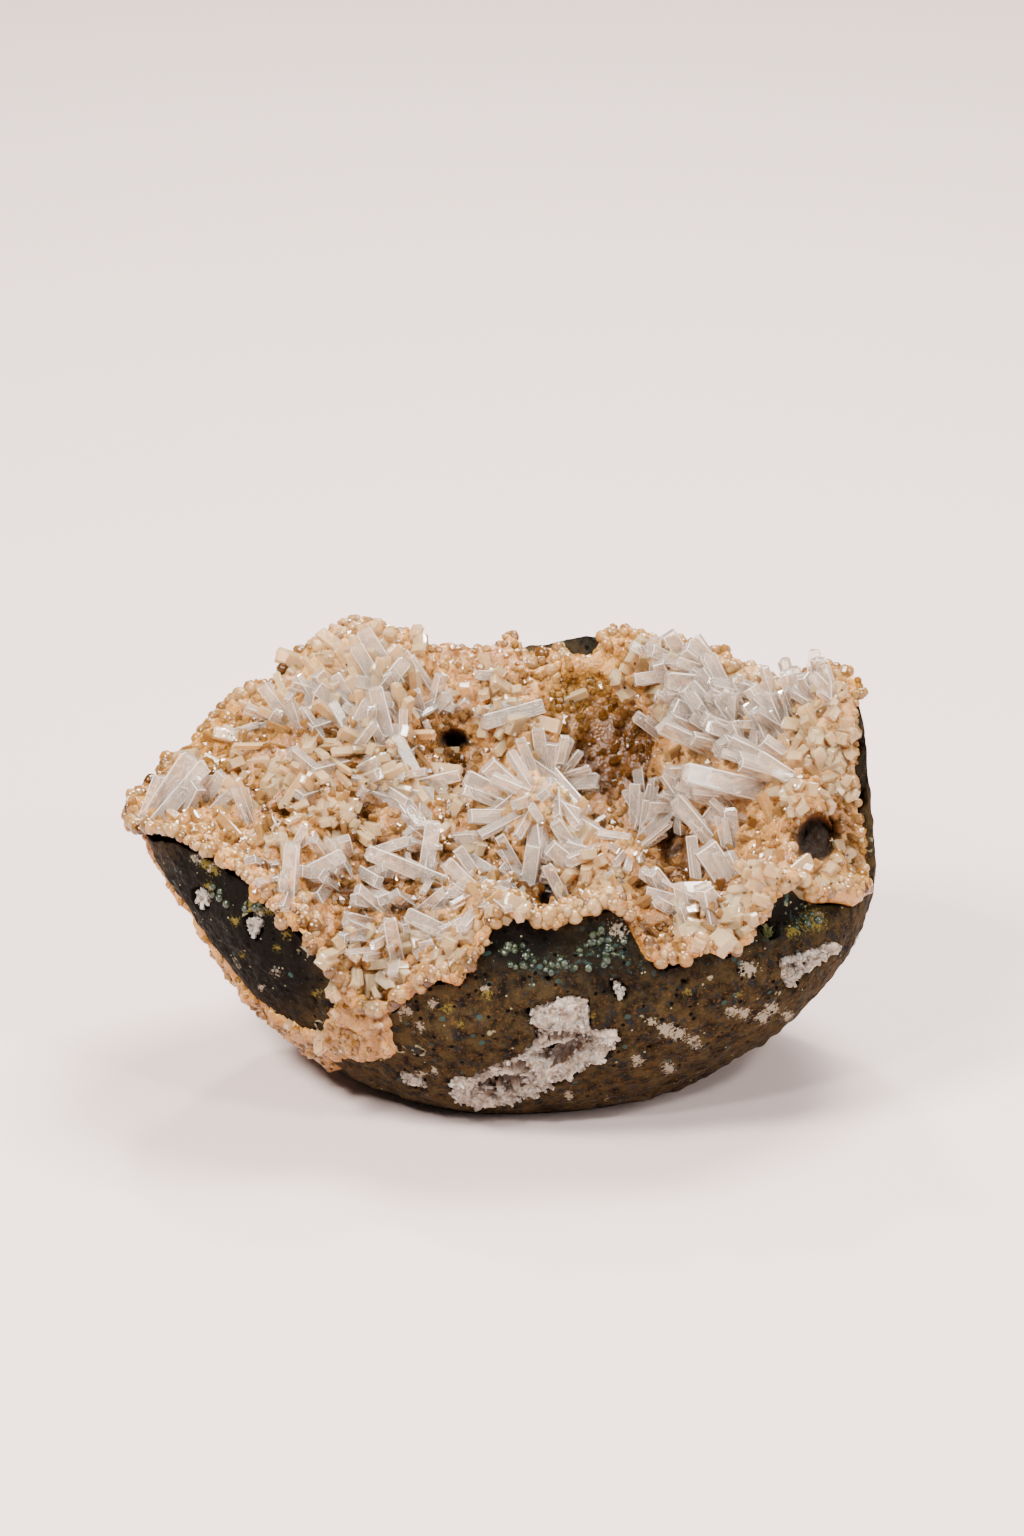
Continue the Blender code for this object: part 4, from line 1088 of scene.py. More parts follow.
@dataclass
class BasaltStone:
    """The dark stone: its rough skin, pits, ledge and the pockets of its larger bubbles."""

    segments: int = 700
    between: int = 11
    wall: tuple[float, ...] = (1.0, 0.95, 0.89, 0.82, 0.72, 0.6, 0.47, 0.34, 0.21, 0.11, 0.04)
    hollow: tuple[float, ...] = (0.0, 0.3, 0.54, 0.74, 0.89)
    foot: tuple[float, ...] = (0.55,)
    pocket_depth: float = 5.0
    grain: tuple[Pair, ...] = ((2.6, 0.42), (1.1, 0.15))
    bubble_spacing: float = 3.1
    bubble_size: float = 0.16
    bubble_depth: float = 1.3
    foot_height: float = 0.3
    # Where the stone is painted black: its own black patch on the left, and painted shadow on the shelf
    # under the front lip.
    black_and_shade_zones: tuple[Zone, ...] = (
        Zone(-36, 20, 9, 0.9), Zone(-29, 12, 8, 0.9), Zone(-40, 26, 7, 0.8), Zone(4, 17, 5, 0.9),
        Zone(14, 15.5, 6, 0.9), Zone(-1, 16, 5, 0.7), Zone(24, 16, 5, 0.8), Zone(34, 20, 5, 0.8),
        Zone(8, 55, 5, 0.6), Zone(13, 56, 3, 0.8), Zone(47, 40, 6, 0.8), Zone(40, 21, 4, 0.8),
    )
    chalk_zones: tuple[Zone, ...] = (
        Zone(21.6, 5.0, 1.1, 1.0), Zone(23.6, 4.2, 1.2, 1.0), Zone(25.8, 3.0, 1.0, 1.0),
        Zone(30.6, 7.3, 0.9, 1.0), Zone(32.4, 6.9, 0.9, 1.0), Zone(34.6, 6.3, 0.9, 1.0),
        Zone(36.0, 7.6, 1.1, 0.9), Zone(38.2, 6.4, 1.0, 0.9), Zone(32.7, 12.8, 1.3, 1.1),
        Zone(18.0, 0.6, 1.0, 1.0), Zone(22.2, -0.4, 1.0, 1.0), Zone(-10.8, -1.3, 0.7, 1.0),
        Zone(-9.0, -0.8, 0.5, 1.0), Zone(-13.0, 7.4, 1.3, 0.8), Zone(-11.0, 5.0, 1.1, 0.8),
        Zone(-9.2, 8.4, 0.9, 0.8), Zone(-2.3, 10.4, 0.7, 1.0), Zone(19.8, 5.9, 0.7, 1.0),
        Zone(-40.7, 27.6, 1.0, 0.9), Zone(-38.7, 26.5, 0.9, 0.8), Zone(-32.3, 20.3, 0.8, 0.9),
        Zone(-30.2, 12.4, 0.8, 0.8), Zone(-32.0, 10.4, 0.7, 0.8), Zone(-23.0, 3.2, 1.6, 0.9),
        Zone(15.5, 18.2, 1.7, 0.8), Zone(42.0, 19.8, 1.2, 0.8), Zone(9.0, -4.0, 0.8, 0.9),
    )
    green_zones: tuple[Zone, ...] = (
        Zone(4.7, 13.2, 3.2, 0.5), Zone(15.2, 15.0, 3.4, 0.5), Zone(10.0, 13.6, 2.6, 0.45),
        Zone(35.0, 18.0, 3.4, 0.5), Zone(28.0, 15.0, 3.2, 0.42), Zone(-7.0, 13.0, 2.0, 0.4),
        Zone(20.0, 12.0, 3.0, 0.36), Zone(40.0, 18.5, 2.4, 0.45),
    )
    olive_zones: tuple[Zone, ...] = (
        Zone(-39.5, 27.1, 1.0, 0.95), Zone(-38.2, 25.9, 0.8, 0.95), Zone(-39.0, 23.8, 0.9, 0.95),
        Zone(-33.0, 21.2, 1.2, 0.95), Zone(-30.8, 20.7, 1.0, 0.9), Zone(-35.5, 19.3, 0.8, 0.9),
        Zone(-28.7, 17.5, 0.8, 0.9), Zone(-30.0, 15.5, 0.7, 0.85), Zone(41.6, 19.4, 2.0, 0.9),
        Zone(38.6, 17.6, 1.2, 0.8), Zone(29.4, 17.4, 1.5, 0.85), Zone(32.4, 18.6, 1.1, 0.9),
        Zone(47.3, 23.0, 1.2, 0.85), Zone(-2.0, 9.6, 1.1, 0.85), Zone(-7.2, 7.6, 1.0, 0.8),
        Zone(-5.4, 5.6, 0.8, 0.8), Zone(12.0, 6.6, 0.7, 0.8), Zone(24.6, 9.8, 0.8, 0.8),
        Zone(31.6, 9.6, 0.7, 0.8), Zone(-24.6, 9.6, 0.8, 0.8), Zone(-34.6, 14.6, 0.7, 0.8),
    )
    body: bpy.types.Object = field(init=False)
    tree: BVHTree = field(init=False)

    def rings(self) -> list[Ring]:
        """Ring functions from the floor of the hollow over the rim to the foot."""
        rings: list[Ring] = []
        for share in self.hollow:
            rings.append(lambda azimuth, share=share: self.hollow_point(azimuth, share))
        for share in spread_rings((*self.wall, 0.0), self.between):
            rings.append(lambda azimuth, share=share: self.wall_point(azimuth, share))
        for share in self.foot:
            rings.append(lambda azimuth, share=share: at(azimuth, reach(azimuth, 0) * share, 0))
        rings.append(lambda azimuth: Vector((0, 0, 0)))
        return rings

    def hollow_point(self, azimuth: float, share: float) -> Vector:
        """A point of the hollow, under the crust."""
        rim = rim_height(azimuth)
        height = HOLLOW_FLOOR + (rim - HOLLOW_FLOOR) * share ** HOLLOW_POWER
        return at(azimuth, reach(azimuth, rim) * share, height)

    def wall_point(self, azimuth: float, share: float) -> Vector:
        """A point of the outer face."""
        height = rim_height(azimuth) * share
        return at(azimuth, reach(azimuth, height), height)

    def build(self, pockets: Sequence[Sequence[Pair]]) -> None:
        """Model the stone and sink the pockets of its bubbles.

        Args:
            pockets: Outlines of the larger fillings, as seen.
        """
        self.body = ringed_ball("basalt_stone", self.rings(), self.segments)
        mesh = self.body.data
        points, normals = points_of(mesh), normals_of(mesh)
        moved, pit_shade = self.roughen(points, normals)
        for outline in pockets:
            inside = self.inside(outline, points) & (normals @ np.array(TO_EYE) > 0.05)
            moved[inside] -= normals[inside] * self.pocket_depth
        moved[:, 2] = np.maximum(moved[:, 2], 0.0)
        set_points(mesh, moved)
        # Painted shade, partly real black: the shelf under the lip and the stone's black patches.
        set_layer(mesh, "black_and_shade", zone_sum(self.black_and_shade_zones, points))
        set_layer(mesh, "pit", pit_shade)
        set_layer(mesh, "chalk", zone_sum(self.chalk_zones, points))
        set_layer(mesh, "green", zone_sum(self.green_zones, points))
        set_layer(mesh, "olive", zone_sum(self.olive_zones, points))
        self.tree = tree_of(mesh)

    def roughen(self, points: np.ndarray, normals: np.ndarray) -> tuple[np.ndarray, np.ndarray]:
        """Work out the rough skin with its open bubbles.

        Args:
            points: The smooth stone's points.
            normals: The way out at each.

        Returns:
            The moved points, and how deep in a bubble each lies, which the material paints as shade.
        """
        heights = np.zeros(len(points))
        pit_shade = np.zeros(len(points))
        for i, p in enumerate(points):
            if p[2] < self.foot_height:
                continue
            place = Vector(p)
            distances, centres = noise.voronoi(place / self.bubble_spacing)
            size = self.bubble_size + self.bubble_size * noise.noise(centres[0] * 3.3)
            depth = smooth_step((size - distances[0]) / self.bubble_size)
            height = lumps(place, self.grain) - self.bubble_depth * depth
            heights[i] = height * smooth_step(p[2] / 2.0)
            pit_shade[i] = depth * 0.8
        return points + normals * heights[:, None], pit_shade

    @staticmethod
    def inside(outline: Sequence[Pair], points: np.ndarray) -> np.ndarray:
        """Whether each point is seen inside an outline."""
        across = points[:, 0]
        up = seen_up(points)
        crossings = np.zeros(len(points), dtype=int)
        for (ax, ay), (bx, by) in zip(outline, list(outline[1:]) + [outline[0]]):
            spans = (ay > up) != (by > up)
            where = (bx - ax) * (up - ay) / ((by - ay) or 1e-9) + ax
            crossings += spans & (across < where)
        return crossings % 2 == 1

    def dress(self) -> None:
        """Finish the stone."""
        shade(self.body, True)
        dress(self.body, [BasaltFinish().material()], "basalt", "basalt_matrix")


@dataclass
class CrystalCrust:
    """The one crust of heulandite that lines the hollow and hangs over the stone's rim."""

    segments: int = 576
    between: int = 8
    sinking: float = 4.5
    lip_steps: tuple[float, ...] = (0.25, 0.5, 0.75)
    lip_swell: float = 0.5
    top: tuple[float, ...] = (0.0, 0.09, 0.17, 0.25, 0.33, 0.41, 0.48, 0.55, 0.62, 0.69, 0.75, 0.81,
                              0.87, 0.93, 0.97, 1.0)
    skirt: tuple[float, ...] = (0.97, 0.88, 0.79, 0.7, 0.6, 0.5, 0.4, 0.3, 0.2, 0.12)
    ragged: tuple[Pair, ...] = ((4.0, 1.1), (1.6, 0.8))
    crystals: tuple[Triple, ...] = ((3.2, 0.26, 0.44), (1.4, 0.42, 0.5))
    calm_edge: Pair = (44.0, 0.6)
    # Rust-tinted patches as seen: partly the crust's own orange, partly painted shade that makes the
    # gaps between crystals look deep.
    rust_tint_and_shade_zones: tuple[Zone, ...] = (
        Zone(15.6, 42.5, 5.2, 1.0), Zone(13, 46, 4, 0.7), Zone(21, 46.5, 2.5, 0.4),
        Zone(-5, 36, 4, 0.55), Zone(-12, 28, 3, 0.5), Zone(0, 52, 5, 0.3),
        Zone(-20, 24, 3, 0.4), Zone(-8, 41, 3, 0.3), Zone(30, 22, 4, 0.25),
        Zone(43, 31, 3.5, 0.5), Zone(-24, 3, 6, 0.3), Zone(6, 23, 2.5, 0.6), Zone(21, 53, 3, 0.25),
        Zone(-34, 44, 4, 0.35), Zone(24, 28, 3.5, 0.5), Zone(-38, 41, 4, 0.3), Zone(-46, 38, 3, 0.25),
        Zone(22.5, 23, 3.5, 0.6), Zone(16, 20, 4, 0.3), Zone(-19, 30, 4, 0.4),
        Zone(6, 49, 6, 0.25), Zone(-24, 41, 8, 0.35), Zone(-16, 48, 6, 0.3),
        Zone(-10, 25, 7, 0.3), Zone(-30, 34, 5, 0.3), Zone(30, 26, 4, 0.3), Zone(2, 28, 5, 0.3),
    )
    amber_zones: tuple[Zone, ...] = (
        Zone(47.5, 51.5, 2.6, 1.0), Zone(-39, 42, 4, 0.4), Zone(-32, 47, 4, 0.3), Zone(14, 54, 4, 0.45),
        Zone(20, 56, 3, 0.4), Zone(45, 27, 3, 0.25), Zone(-40, 29, 5, 0.3), Zone(8, 50, 5, 0.35),
    )
    pale_zones: tuple[Zone, ...] = (
        Zone(32, 45, 8, 0.85), Zone(42, 47, 7, 0.6), Zone(6, 36, 6, 0.9), Zone(44, 26, 4, 0.55),
        Zone(-24, 55, 5, 0.6), Zone(-22, 4, 5, 0.7), Zone(-6, 22, 6, 0.4), Zone(24, 36, 5, 0.6),
        Zone(-26, 54, 3, 0.4), Zone(28, 19, 6, 0.2), Zone(14, 26, 5, 0.35), Zone(12, 19, 4, 0.4),
    )
    body: bpy.types.Object = field(init=False)
    tree: BVHTree = field(init=False)

    def rings(self) -> list[Ring]:
        """Ring functions from the middle of the hollow over the lip and down inside the stone."""
        rings: list[Ring] = []
        for share in spread_rings(self.top, self.between):
            rings.append(lambda azimuth, share=share: crust_point(azimuth, share))
        for step in self.lip_steps:
            rings.append(lambda azimuth, step=step: self.lip_front(azimuth, step))
        rings.append(self.lip_side)
        rings.append(self.lip_underside)
        for share in spread_rings(self.skirt, self.between // 2):
            rings.append(lambda azimuth, share=share: self.skirt_point(azimuth, share))
        rings.append(lambda azimuth: at(azimuth, reach(azimuth, 4) - 10, 4))
        rings.append(lambda azimuth: Vector((0, 0, 4)))
        return rings

    def lip_side(self, azimuth: float) -> Vector:
        """A point of the lip's outer side."""
        rim = rim_height(azimuth)
        height = rim + 0.25 * round_curve(LIP_HEIGHT, azimuth) + span_curve(LIP_LIFT, azimuth)
        return at(azimuth, reach(azimuth, rim) + round_curve(LIP_REACH, azimuth) + 0.25, height)

    def lip_front(self, azimuth: float, step: float) -> Vector:
        """A point of the swelling between the top's edge and the lip's outer side."""
        swell = at(azimuth, self.lip_swell * math.sin(math.pi * step), 0)
        return crust_point(azimuth, 1.0).lerp(self.lip_side(azimuth), step) + swell

    def lip_underside(self, azimuth: float) -> Vector:
        """A point between the lip's outer side and what is below it."""
        return self.lip_side(azimuth).lerp(self.skirt_point(azimuth, self.skirt[0]), 0.5)

    def skirt_point(self, azimuth: float, share: float) -> Vector:
        """A point of the crust's outer side, inside the stone where the crust ends."""
        height = rim_height(azimuth) * share
        place = at(azimuth, 40, height)
        offset = skirt_offset(azimuth, height)
        relief = lumps(place, LUMP_SIZES) * 0.5 if offset > 0 else 0.0
        edge = lumps(place, self.ragged) if abs(offset) < SKIRT_THICKNESS else 0.0
        out = min(offset + relief + edge, 1.5)
        return at(azimuth, reach(azimuth, height) + (out if out > 0 else out * self.sinking), height)

    def build(self, stone: BasaltStone) -> None:
        """Model the crust over a stone."""
        self.body = ringed_ball("heulandite_crust", self.rings(), self.segments)
        mesh = self.body.data
        points, normals = points_of(mesh), normals_of(mesh)
        heights = np.array([self.relief(Vector(p)) for p in points])
        edge, calm = self.calm_edge
        heights *= np.where(np.hypot(points[:, 0], points[:, 1]) > edge, calm, 1.0)
        heights += np.array([self.ragged_lip(Vector(p)) for p in points])
        moved = points + normals * heights[:, None]
        moved, holes = self.sink_holes(moved)
        set_points(mesh, moved)
        gaps = np.array([self.gap(stone.tree, p) for p in moved])
        # Painted shade, partly real tint: the zones, then darkening in the crevices between crystal
        # faces and in the crust's recesses.
        rust_tint_and_shade = zone_sum(self.rust_tint_and_shade_zones, points) + np.clip(-heights * 0.7 - 0.05, 0, 0.55)
        rust_tint_and_shade += np.clip(recess_at(points) * 0.09, -0.2, 0.5)
        set_layer(mesh, "rust_tint_and_shade", rust_tint_and_shade)
        set_layer(mesh, "pale", zone_sum(self.pale_zones, points))
        amber = zone_sum(self.amber_zones, points)
        set_layer(mesh, "edge", np.maximum(np.clip(1.0 - gaps / 0.8, 0, 0.9), amber))
        # Painted shade: how deep in a hole each point lies, for the material to colour near black.
        set_layer(mesh, "hole", holes)
        self.tree = tree_of(mesh)

    def relief(self, place: Vector) -> float:
        """Height of the druse's crystals over the crust's smooth form."""
        return sum(crystal_faces(place, *crystal) for crystal in self.crystals)

    def ragged_lip(self, place: Vector) -> float:
        """How far the crust's edge runs out or in over the stone's rim."""
        azimuth = math.degrees(math.atan2(place.y, place.x))
        rim = rim_height(azimuth)
        share = math.hypot(place.x, place.y) / (reach(azimuth, rim) + round_curve(LIP_REACH, azimuth))
        return smooth_step((share - 0.9) / 0.08) * lumps(place, self.ragged) * 0.75

    @staticmethod
    def gap(stone: BVHTree, place: Sequence[float]) -> float:
        """Distance of a point from the stone, 0 inside it."""
        near, normal, _, distance = stone.find_nearest(Vector(place), 3.0)
        if near is None:
            return 3.0
        return distance if (Vector(place) - near).dot(normal) > 0 else 0.0

    def sink_holes(self, points: np.ndarray) -> tuple[np.ndarray, np.ndarray]:
        """Push the crust in where holes run into it.

        Args:
            points: The crust's points.

        Returns:
            The moved points, and how deep in a hole each lies, which the material paints as shade.
        """
        tree = BVHTree.FromPolygons([tuple(p) for p in points],
                                    [tuple(f.vertices) for f in self.body.data.polygons])
        into = -np.array(TO_EYE)
        ups = seen_up(points)
        moved, deepest = points.copy(), np.zeros(len(points))
        for across, up, half_width, half_height, depth in CRUST_HOLES:
            mouth, _ = seen_on(tree, (across, up))
            near = np.abs((points - np.array(mouth)) @ into) < depth + 3
            radius = np.hypot((points[:, 0] - across) / half_width, (ups - up) / half_height)
            push = np.array([smooth_step((1.25 - r) / 0.6) for r in radius]) * near
            moved += into * (push * (depth + 2.0))[:, None]
            deepest = np.maximum(deepest, np.clip(push * 1.5 - 0.45, 0, 0.97) * min(depth / 4, 1))
        return moved, deepest

    def dress(self, material: bpy.types.Material) -> None:
        """Finish the crust."""
        shade(self.body, True)
        dress(self.body, [material], "heulandite", "crystal_crust")


@dataclass(frozen=True)
class Tuft:
    """A tuft of small blades, as seen: its middle, how many, their size and the way they point.

    Without an aim the blades spread from a point below the crust. With one they lie around it.
    """

    across: float
    up: float
    radius: float
    count: int
    lengths: Pair = (2.6, 5.0)
    widths: Pair = (0.7, 1.5)
    aim: float | None = None
    spread: float = 35.0
    lean: float = 20.0


CLEAR_TUFTS = (
    Tuft(5.8, 35.5, 6.5, 30, (3.2, 5.8), (1.1, 2.2)),
    Tuft(16.6, 28.6, 5.5, 14, (2.0, 3.6), (1.0, 1.9)),
    Tuft(-2.3, 23.2, 6, 20, (3.0, 5.2), (1.0, 1.9)),
    Tuft(-13.7, 17.8, 5.5, 20, (3.4, 6.2), (1.0, 1.9)),
    Tuft(-8.4, 28.6, 6, 14, (2.8, 5.0), (1.0, 2.0)),
    Tuft(-20, 26, 6, 12, (3.0, 5.6), (1.0, 2.0)),
    Tuft(30.7, 46, 7, 34, (3.4, 6.4), (1.2, 2.3), 140),
    Tuft(36, 42, 6, 20, (3.0, 5.6), (1.2, 2.2), 150),
    Tuft(40, 48.8, 5, 20, (2.4, 4.4), (1.1, 2.0), 112),
    Tuft(22, 33.6, 4, 14, (2.6, 4.6), (0.8, 1.5), 78),
    Tuft(28.5, 33.5, 5, 18, (2.6, 4.8), (1.0, 1.8), 128, 50),
    Tuft(-43, 36, 3.5, 10, (3.0, 5.5), (1.2, 2.2), 58, 40),
    Tuft(25.3, 53.5, 4.5, 12, (2.4, 4.4), (1.1, 2.1), 150, 45),
    Tuft(25.3, 22.5, 5, 10, (2.2, 4.0), (1.2, 2.2), 125, 60),
    Tuft(-28.6, 25.5, 4.5, 9, (2.6, 5.0), (1.0, 1.9)),
    Tuft(-19, 49, 7, 12, (2.8, 5.0), (1.0, 1.9), 118, 60),
    Tuft(-26, 47, 6, 10, (2.2, 4.2), (1.0, 1.8), 125, 60),
    Tuft(-19, 38, 8, 14, (2.8, 5.4), (1.0, 1.9)),
    Tuft(-10, 45, 6, 10, (2.4, 4.6), (1.0, 1.8)),
)

FROSTED_TUFTS = (
    Tuft(-17.8, 50, 7, 34, (2.6, 5.2), (0.9, 1.8), 118, 60),
    Tuft(-27, 43.4, 8, 34, (2.4, 4.8), (0.9, 1.7)),
    Tuft(-23, 35.3, 7, 28, (2.6, 5.2), (0.9, 1.8)),
    Tuft(-13, 42, 6, 26, (2.4, 5.0), (0.9, 1.8)),
    Tuft(-31, 33, 6, 20, (2.4, 4.8), (0.9, 1.7)),
    Tuft(-24.5, 54, 4.5, 16, (1.6, 3.2), (1.0, 1.9)),
    Tuft(-15, 55.5, 4, 14, (1.6, 3.0), (1.0, 1.8)),
    Tuft(4, 47, 6, 10, (1.8, 3.2), (1.1, 2.0)),
    Tuft(10, 25, 6, 22, (1.4, 2.8), (1.2, 2.2)),
    Tuft(3, 20.5, 4, 14, (1.0, 2.2), (1.2, 2.3)),
    Tuft(40, 38, 5, 22, (1.2, 2.4), (1.2, 2.2)),
    Tuft(36, 23, 6, 26, (1.2, 2.4), (1.3, 2.4)),
    Tuft(28, 19.5, 5, 20, (1.0, 2.2), (1.3, 2.4)),
    Tuft(44.5, 27, 4, 14, (1.0, 2.0), (1.2, 2.2)),
    Tuft(-20, 14, 6, 24, (1.4, 2.8), (1.2, 2.2)),
    Tuft(-9, 15.5, 5, 18, (1.0, 2.4), (1.2, 2.2)),
    Tuft(-24, 7, 5, 14, (0.8, 1.8), (1.1, 2.0)),
    Tuft(46, 43, 4, 20, (1.0, 2.2), (1.2, 2.2)),
    Tuft(42.5, 44.5, 4, 16, (1.2, 2.6), (1.2, 2.2)),
    Tuft(46, 36, 3.5, 14, (0.8, 1.8), (1.2, 2.0)),
    Tuft(-6, 33, 5, 14, (1.2, 2.6), (1.2, 2.2)),
    Tuft(20, 50, 5, 14, (1.2, 2.6), (1.2, 2.2)),
    Tuft(22, 55, 3.5, 10, (1.0, 2.2), (1.2, 2.2)),
    Tuft(43, 50.5, 3, 12, (1.2, 2.4), (1.1, 2.0)),
    Tuft(-38, 39, 6, 20, (1.2, 2.6), (1.1, 2.0)),
    Tuft(-3, 49, 5, 14, (1.2, 2.6), (1.1, 2.0)),
)


@dataclass
class CalciteBlades:
    """The blades: those of the frame with smaller ones beside them, and the tufts."""

    seed: int = 11
    lean_drift: Pair = (4.3, 20.0)
    roll_size: float = 2.1
    beside: Pair = (1, 3)
    beside_scale: Pair = (0.35, 0.8)
    beside_width: Pair = (0.35, 0.7)
    beside_roll: float = 50.0
    root_depth: float = 4.5
    tuft_height: float = 0.8
    tuft_limit: float = 2.2
    tuft_roll: float = 60.0
    stray: float = 1.6
    lean_stray: float = 14.0
    taper: Pair = (-0.06, 0.12)
    hole_margin: float = 1.2
    patterns: list[BladePattern] = field(init=False)

    def __post_init__(self) -> None:
        """Model one blade with each kind of end."""
        self.patterns = [BladePattern(tip) for tip in Tip]

    def build(self, crust: CrystalCrust) -> list[bpy.types.Object]:
        """Grow every cluster on the crust, one piece each, then the clear and the frosted tufts."""
        pick = random.Random(self.seed)
        pieces = []
        for cluster, lean, blades in BLADES:
            batch = CrystalBatch(f"calcite_{cluster.replace(' ', '_')}")
            for across, up, clock, length, width in blades:
                self.grow_group(batch, crust.tree, pick, (across, up), clock, lean, length, width)
            pieces.append(batch.finish())
        for name, tufts in (("calcite_tufts", CLEAR_TUFTS), ("frosted_prisms", FROSTED_TUFTS)):
            batch = CrystalBatch(name)
            for tuft in tufts:
                self.grow_tuft(batch, crust.tree, pick, tuft)
            pieces.append(batch.finish())
        return pieces

    def grow_group(self, batch: CrystalBatch, tree: BVHTree, pick: random.Random, seen: Pair,
                   clock: float, lean: float, length: float, width: float) -> None:
        """Grow one blade and its smaller neighbours."""
        foot, _ = seen_on(tree, seen)
        if foot is None:
            return
        drift_size, drift = self.lean_drift
        direction = sight_direction(clock, lean + drift * noise.noise(foot / drift_size))
        roll = BLADE_ROLL * noise.noise(foot / self.roll_size + Vector((9, 0, 0)))
        self.grow_blade(batch, pick, foot, direction, roll, length, width)
        for _ in range(pick.randint(*self.beside)):
            side = Vector([pick.gauss(0, 1) for _ in range(3)])
            near = foot + side * width * 0.55 - direction * 0.3
            turned = (direction + side * 0.16).normalized()
            scale = pick.uniform(*self.beside_scale)
            rolled = roll + pick.uniform(-self.beside_roll, self.beside_roll)
            self.grow_blade(batch, pick, near, turned, rolled, length * scale,
                            width * pick.uniform(*self.beside_width))

    def grow_tuft(self, batch: CrystalBatch, tree: BVHTree, pick: random.Random, tuft: Tuft) -> None:
        """Grow a tuft's blades, each from where its foot is seen on the crust."""
        middle, _ = seen_on(tree, (tuft.across, tuft.up))
        if middle is None:
            LOG.info("no crust is seen at %.1f, %.1f", tuft.across, tuft.up)
            return
        root = middle - TO_EYE * self.root_depth
        for number in range(tuft.count):
            pick.seed(f"{tuft.across} {tuft.up} {number}")
            turn, away = pick.uniform(0, math.tau), tuft.radius * math.sqrt(pick.random())
            seen = (tuft.across + away * math.cos(turn),
                    tuft.up + self.tuft_height * away * math.sin(turn))
            foot, _ = seen_on(tree, seen)
            if foot is None or self.in_hole(seen):
                continue
            if (foot - middle).length > self.tuft_limit * tuft.radius:
                continue
            if tuft.aim is None:
                stray = Vector([pick.gauss(0, self.stray) for _ in range(3)])
                direction = (foot - root + stray).normalized()
            else:
                clock = pick.gauss(tuft.aim, tuft.spread * 0.6)
                direction = sight_direction(clock, pick.gauss(tuft.lean, self.lean_stray))
            roll = pick.uniform(-self.tuft_roll, self.tuft_roll)
            self.grow_blade(batch, pick, foot, direction, roll, pick.uniform(*tuft.lengths),
                            pick.uniform(*tuft.widths))

    def in_hole(self, seen: Pair) -> bool:
        """Whether a seen place lies in one of the crust's holes, or close beside it."""
        radii = [math.hypot((seen[0] - across) / half_width, (seen[1] - up) / half_height)
                 for across, up, half_width, half_height, _ in CRUST_HOLES]
        return min(radii) < self.hole_margin

    def grow_blade(self, batch: CrystalBatch, pick: random.Random, foot: Vector, direction: Vector,
                   roll: float, length: float, width: float) -> None:
        """Grow one blade from its foot."""
        pattern = pick.choice(self.patterns)
        full = length + BLADE_ROOT
        local = pattern.sized(full, width, pick.uniform(*self.taper))
        start = foot - direction * BLADE_ROOT
        batch.grow(local, pattern, facing(direction, roll), start)

    @staticmethod
    def dress(pieces: Sequence[bpy.types.Object]) -> None:
        """Finish every cluster."""
        # The second finish is a painted highlight on the blades' edge faces.
        clear = [CalciteFinish().material(), CalciteRimHighlightFinish().material()]
        frosted = [CLOUDY_HEULANDITE.material()]
        for piece in pieces:
            dress(piece, frosted if piece.name.startswith("frosted") else clear, "heulandite",
                  "crystal_crust")


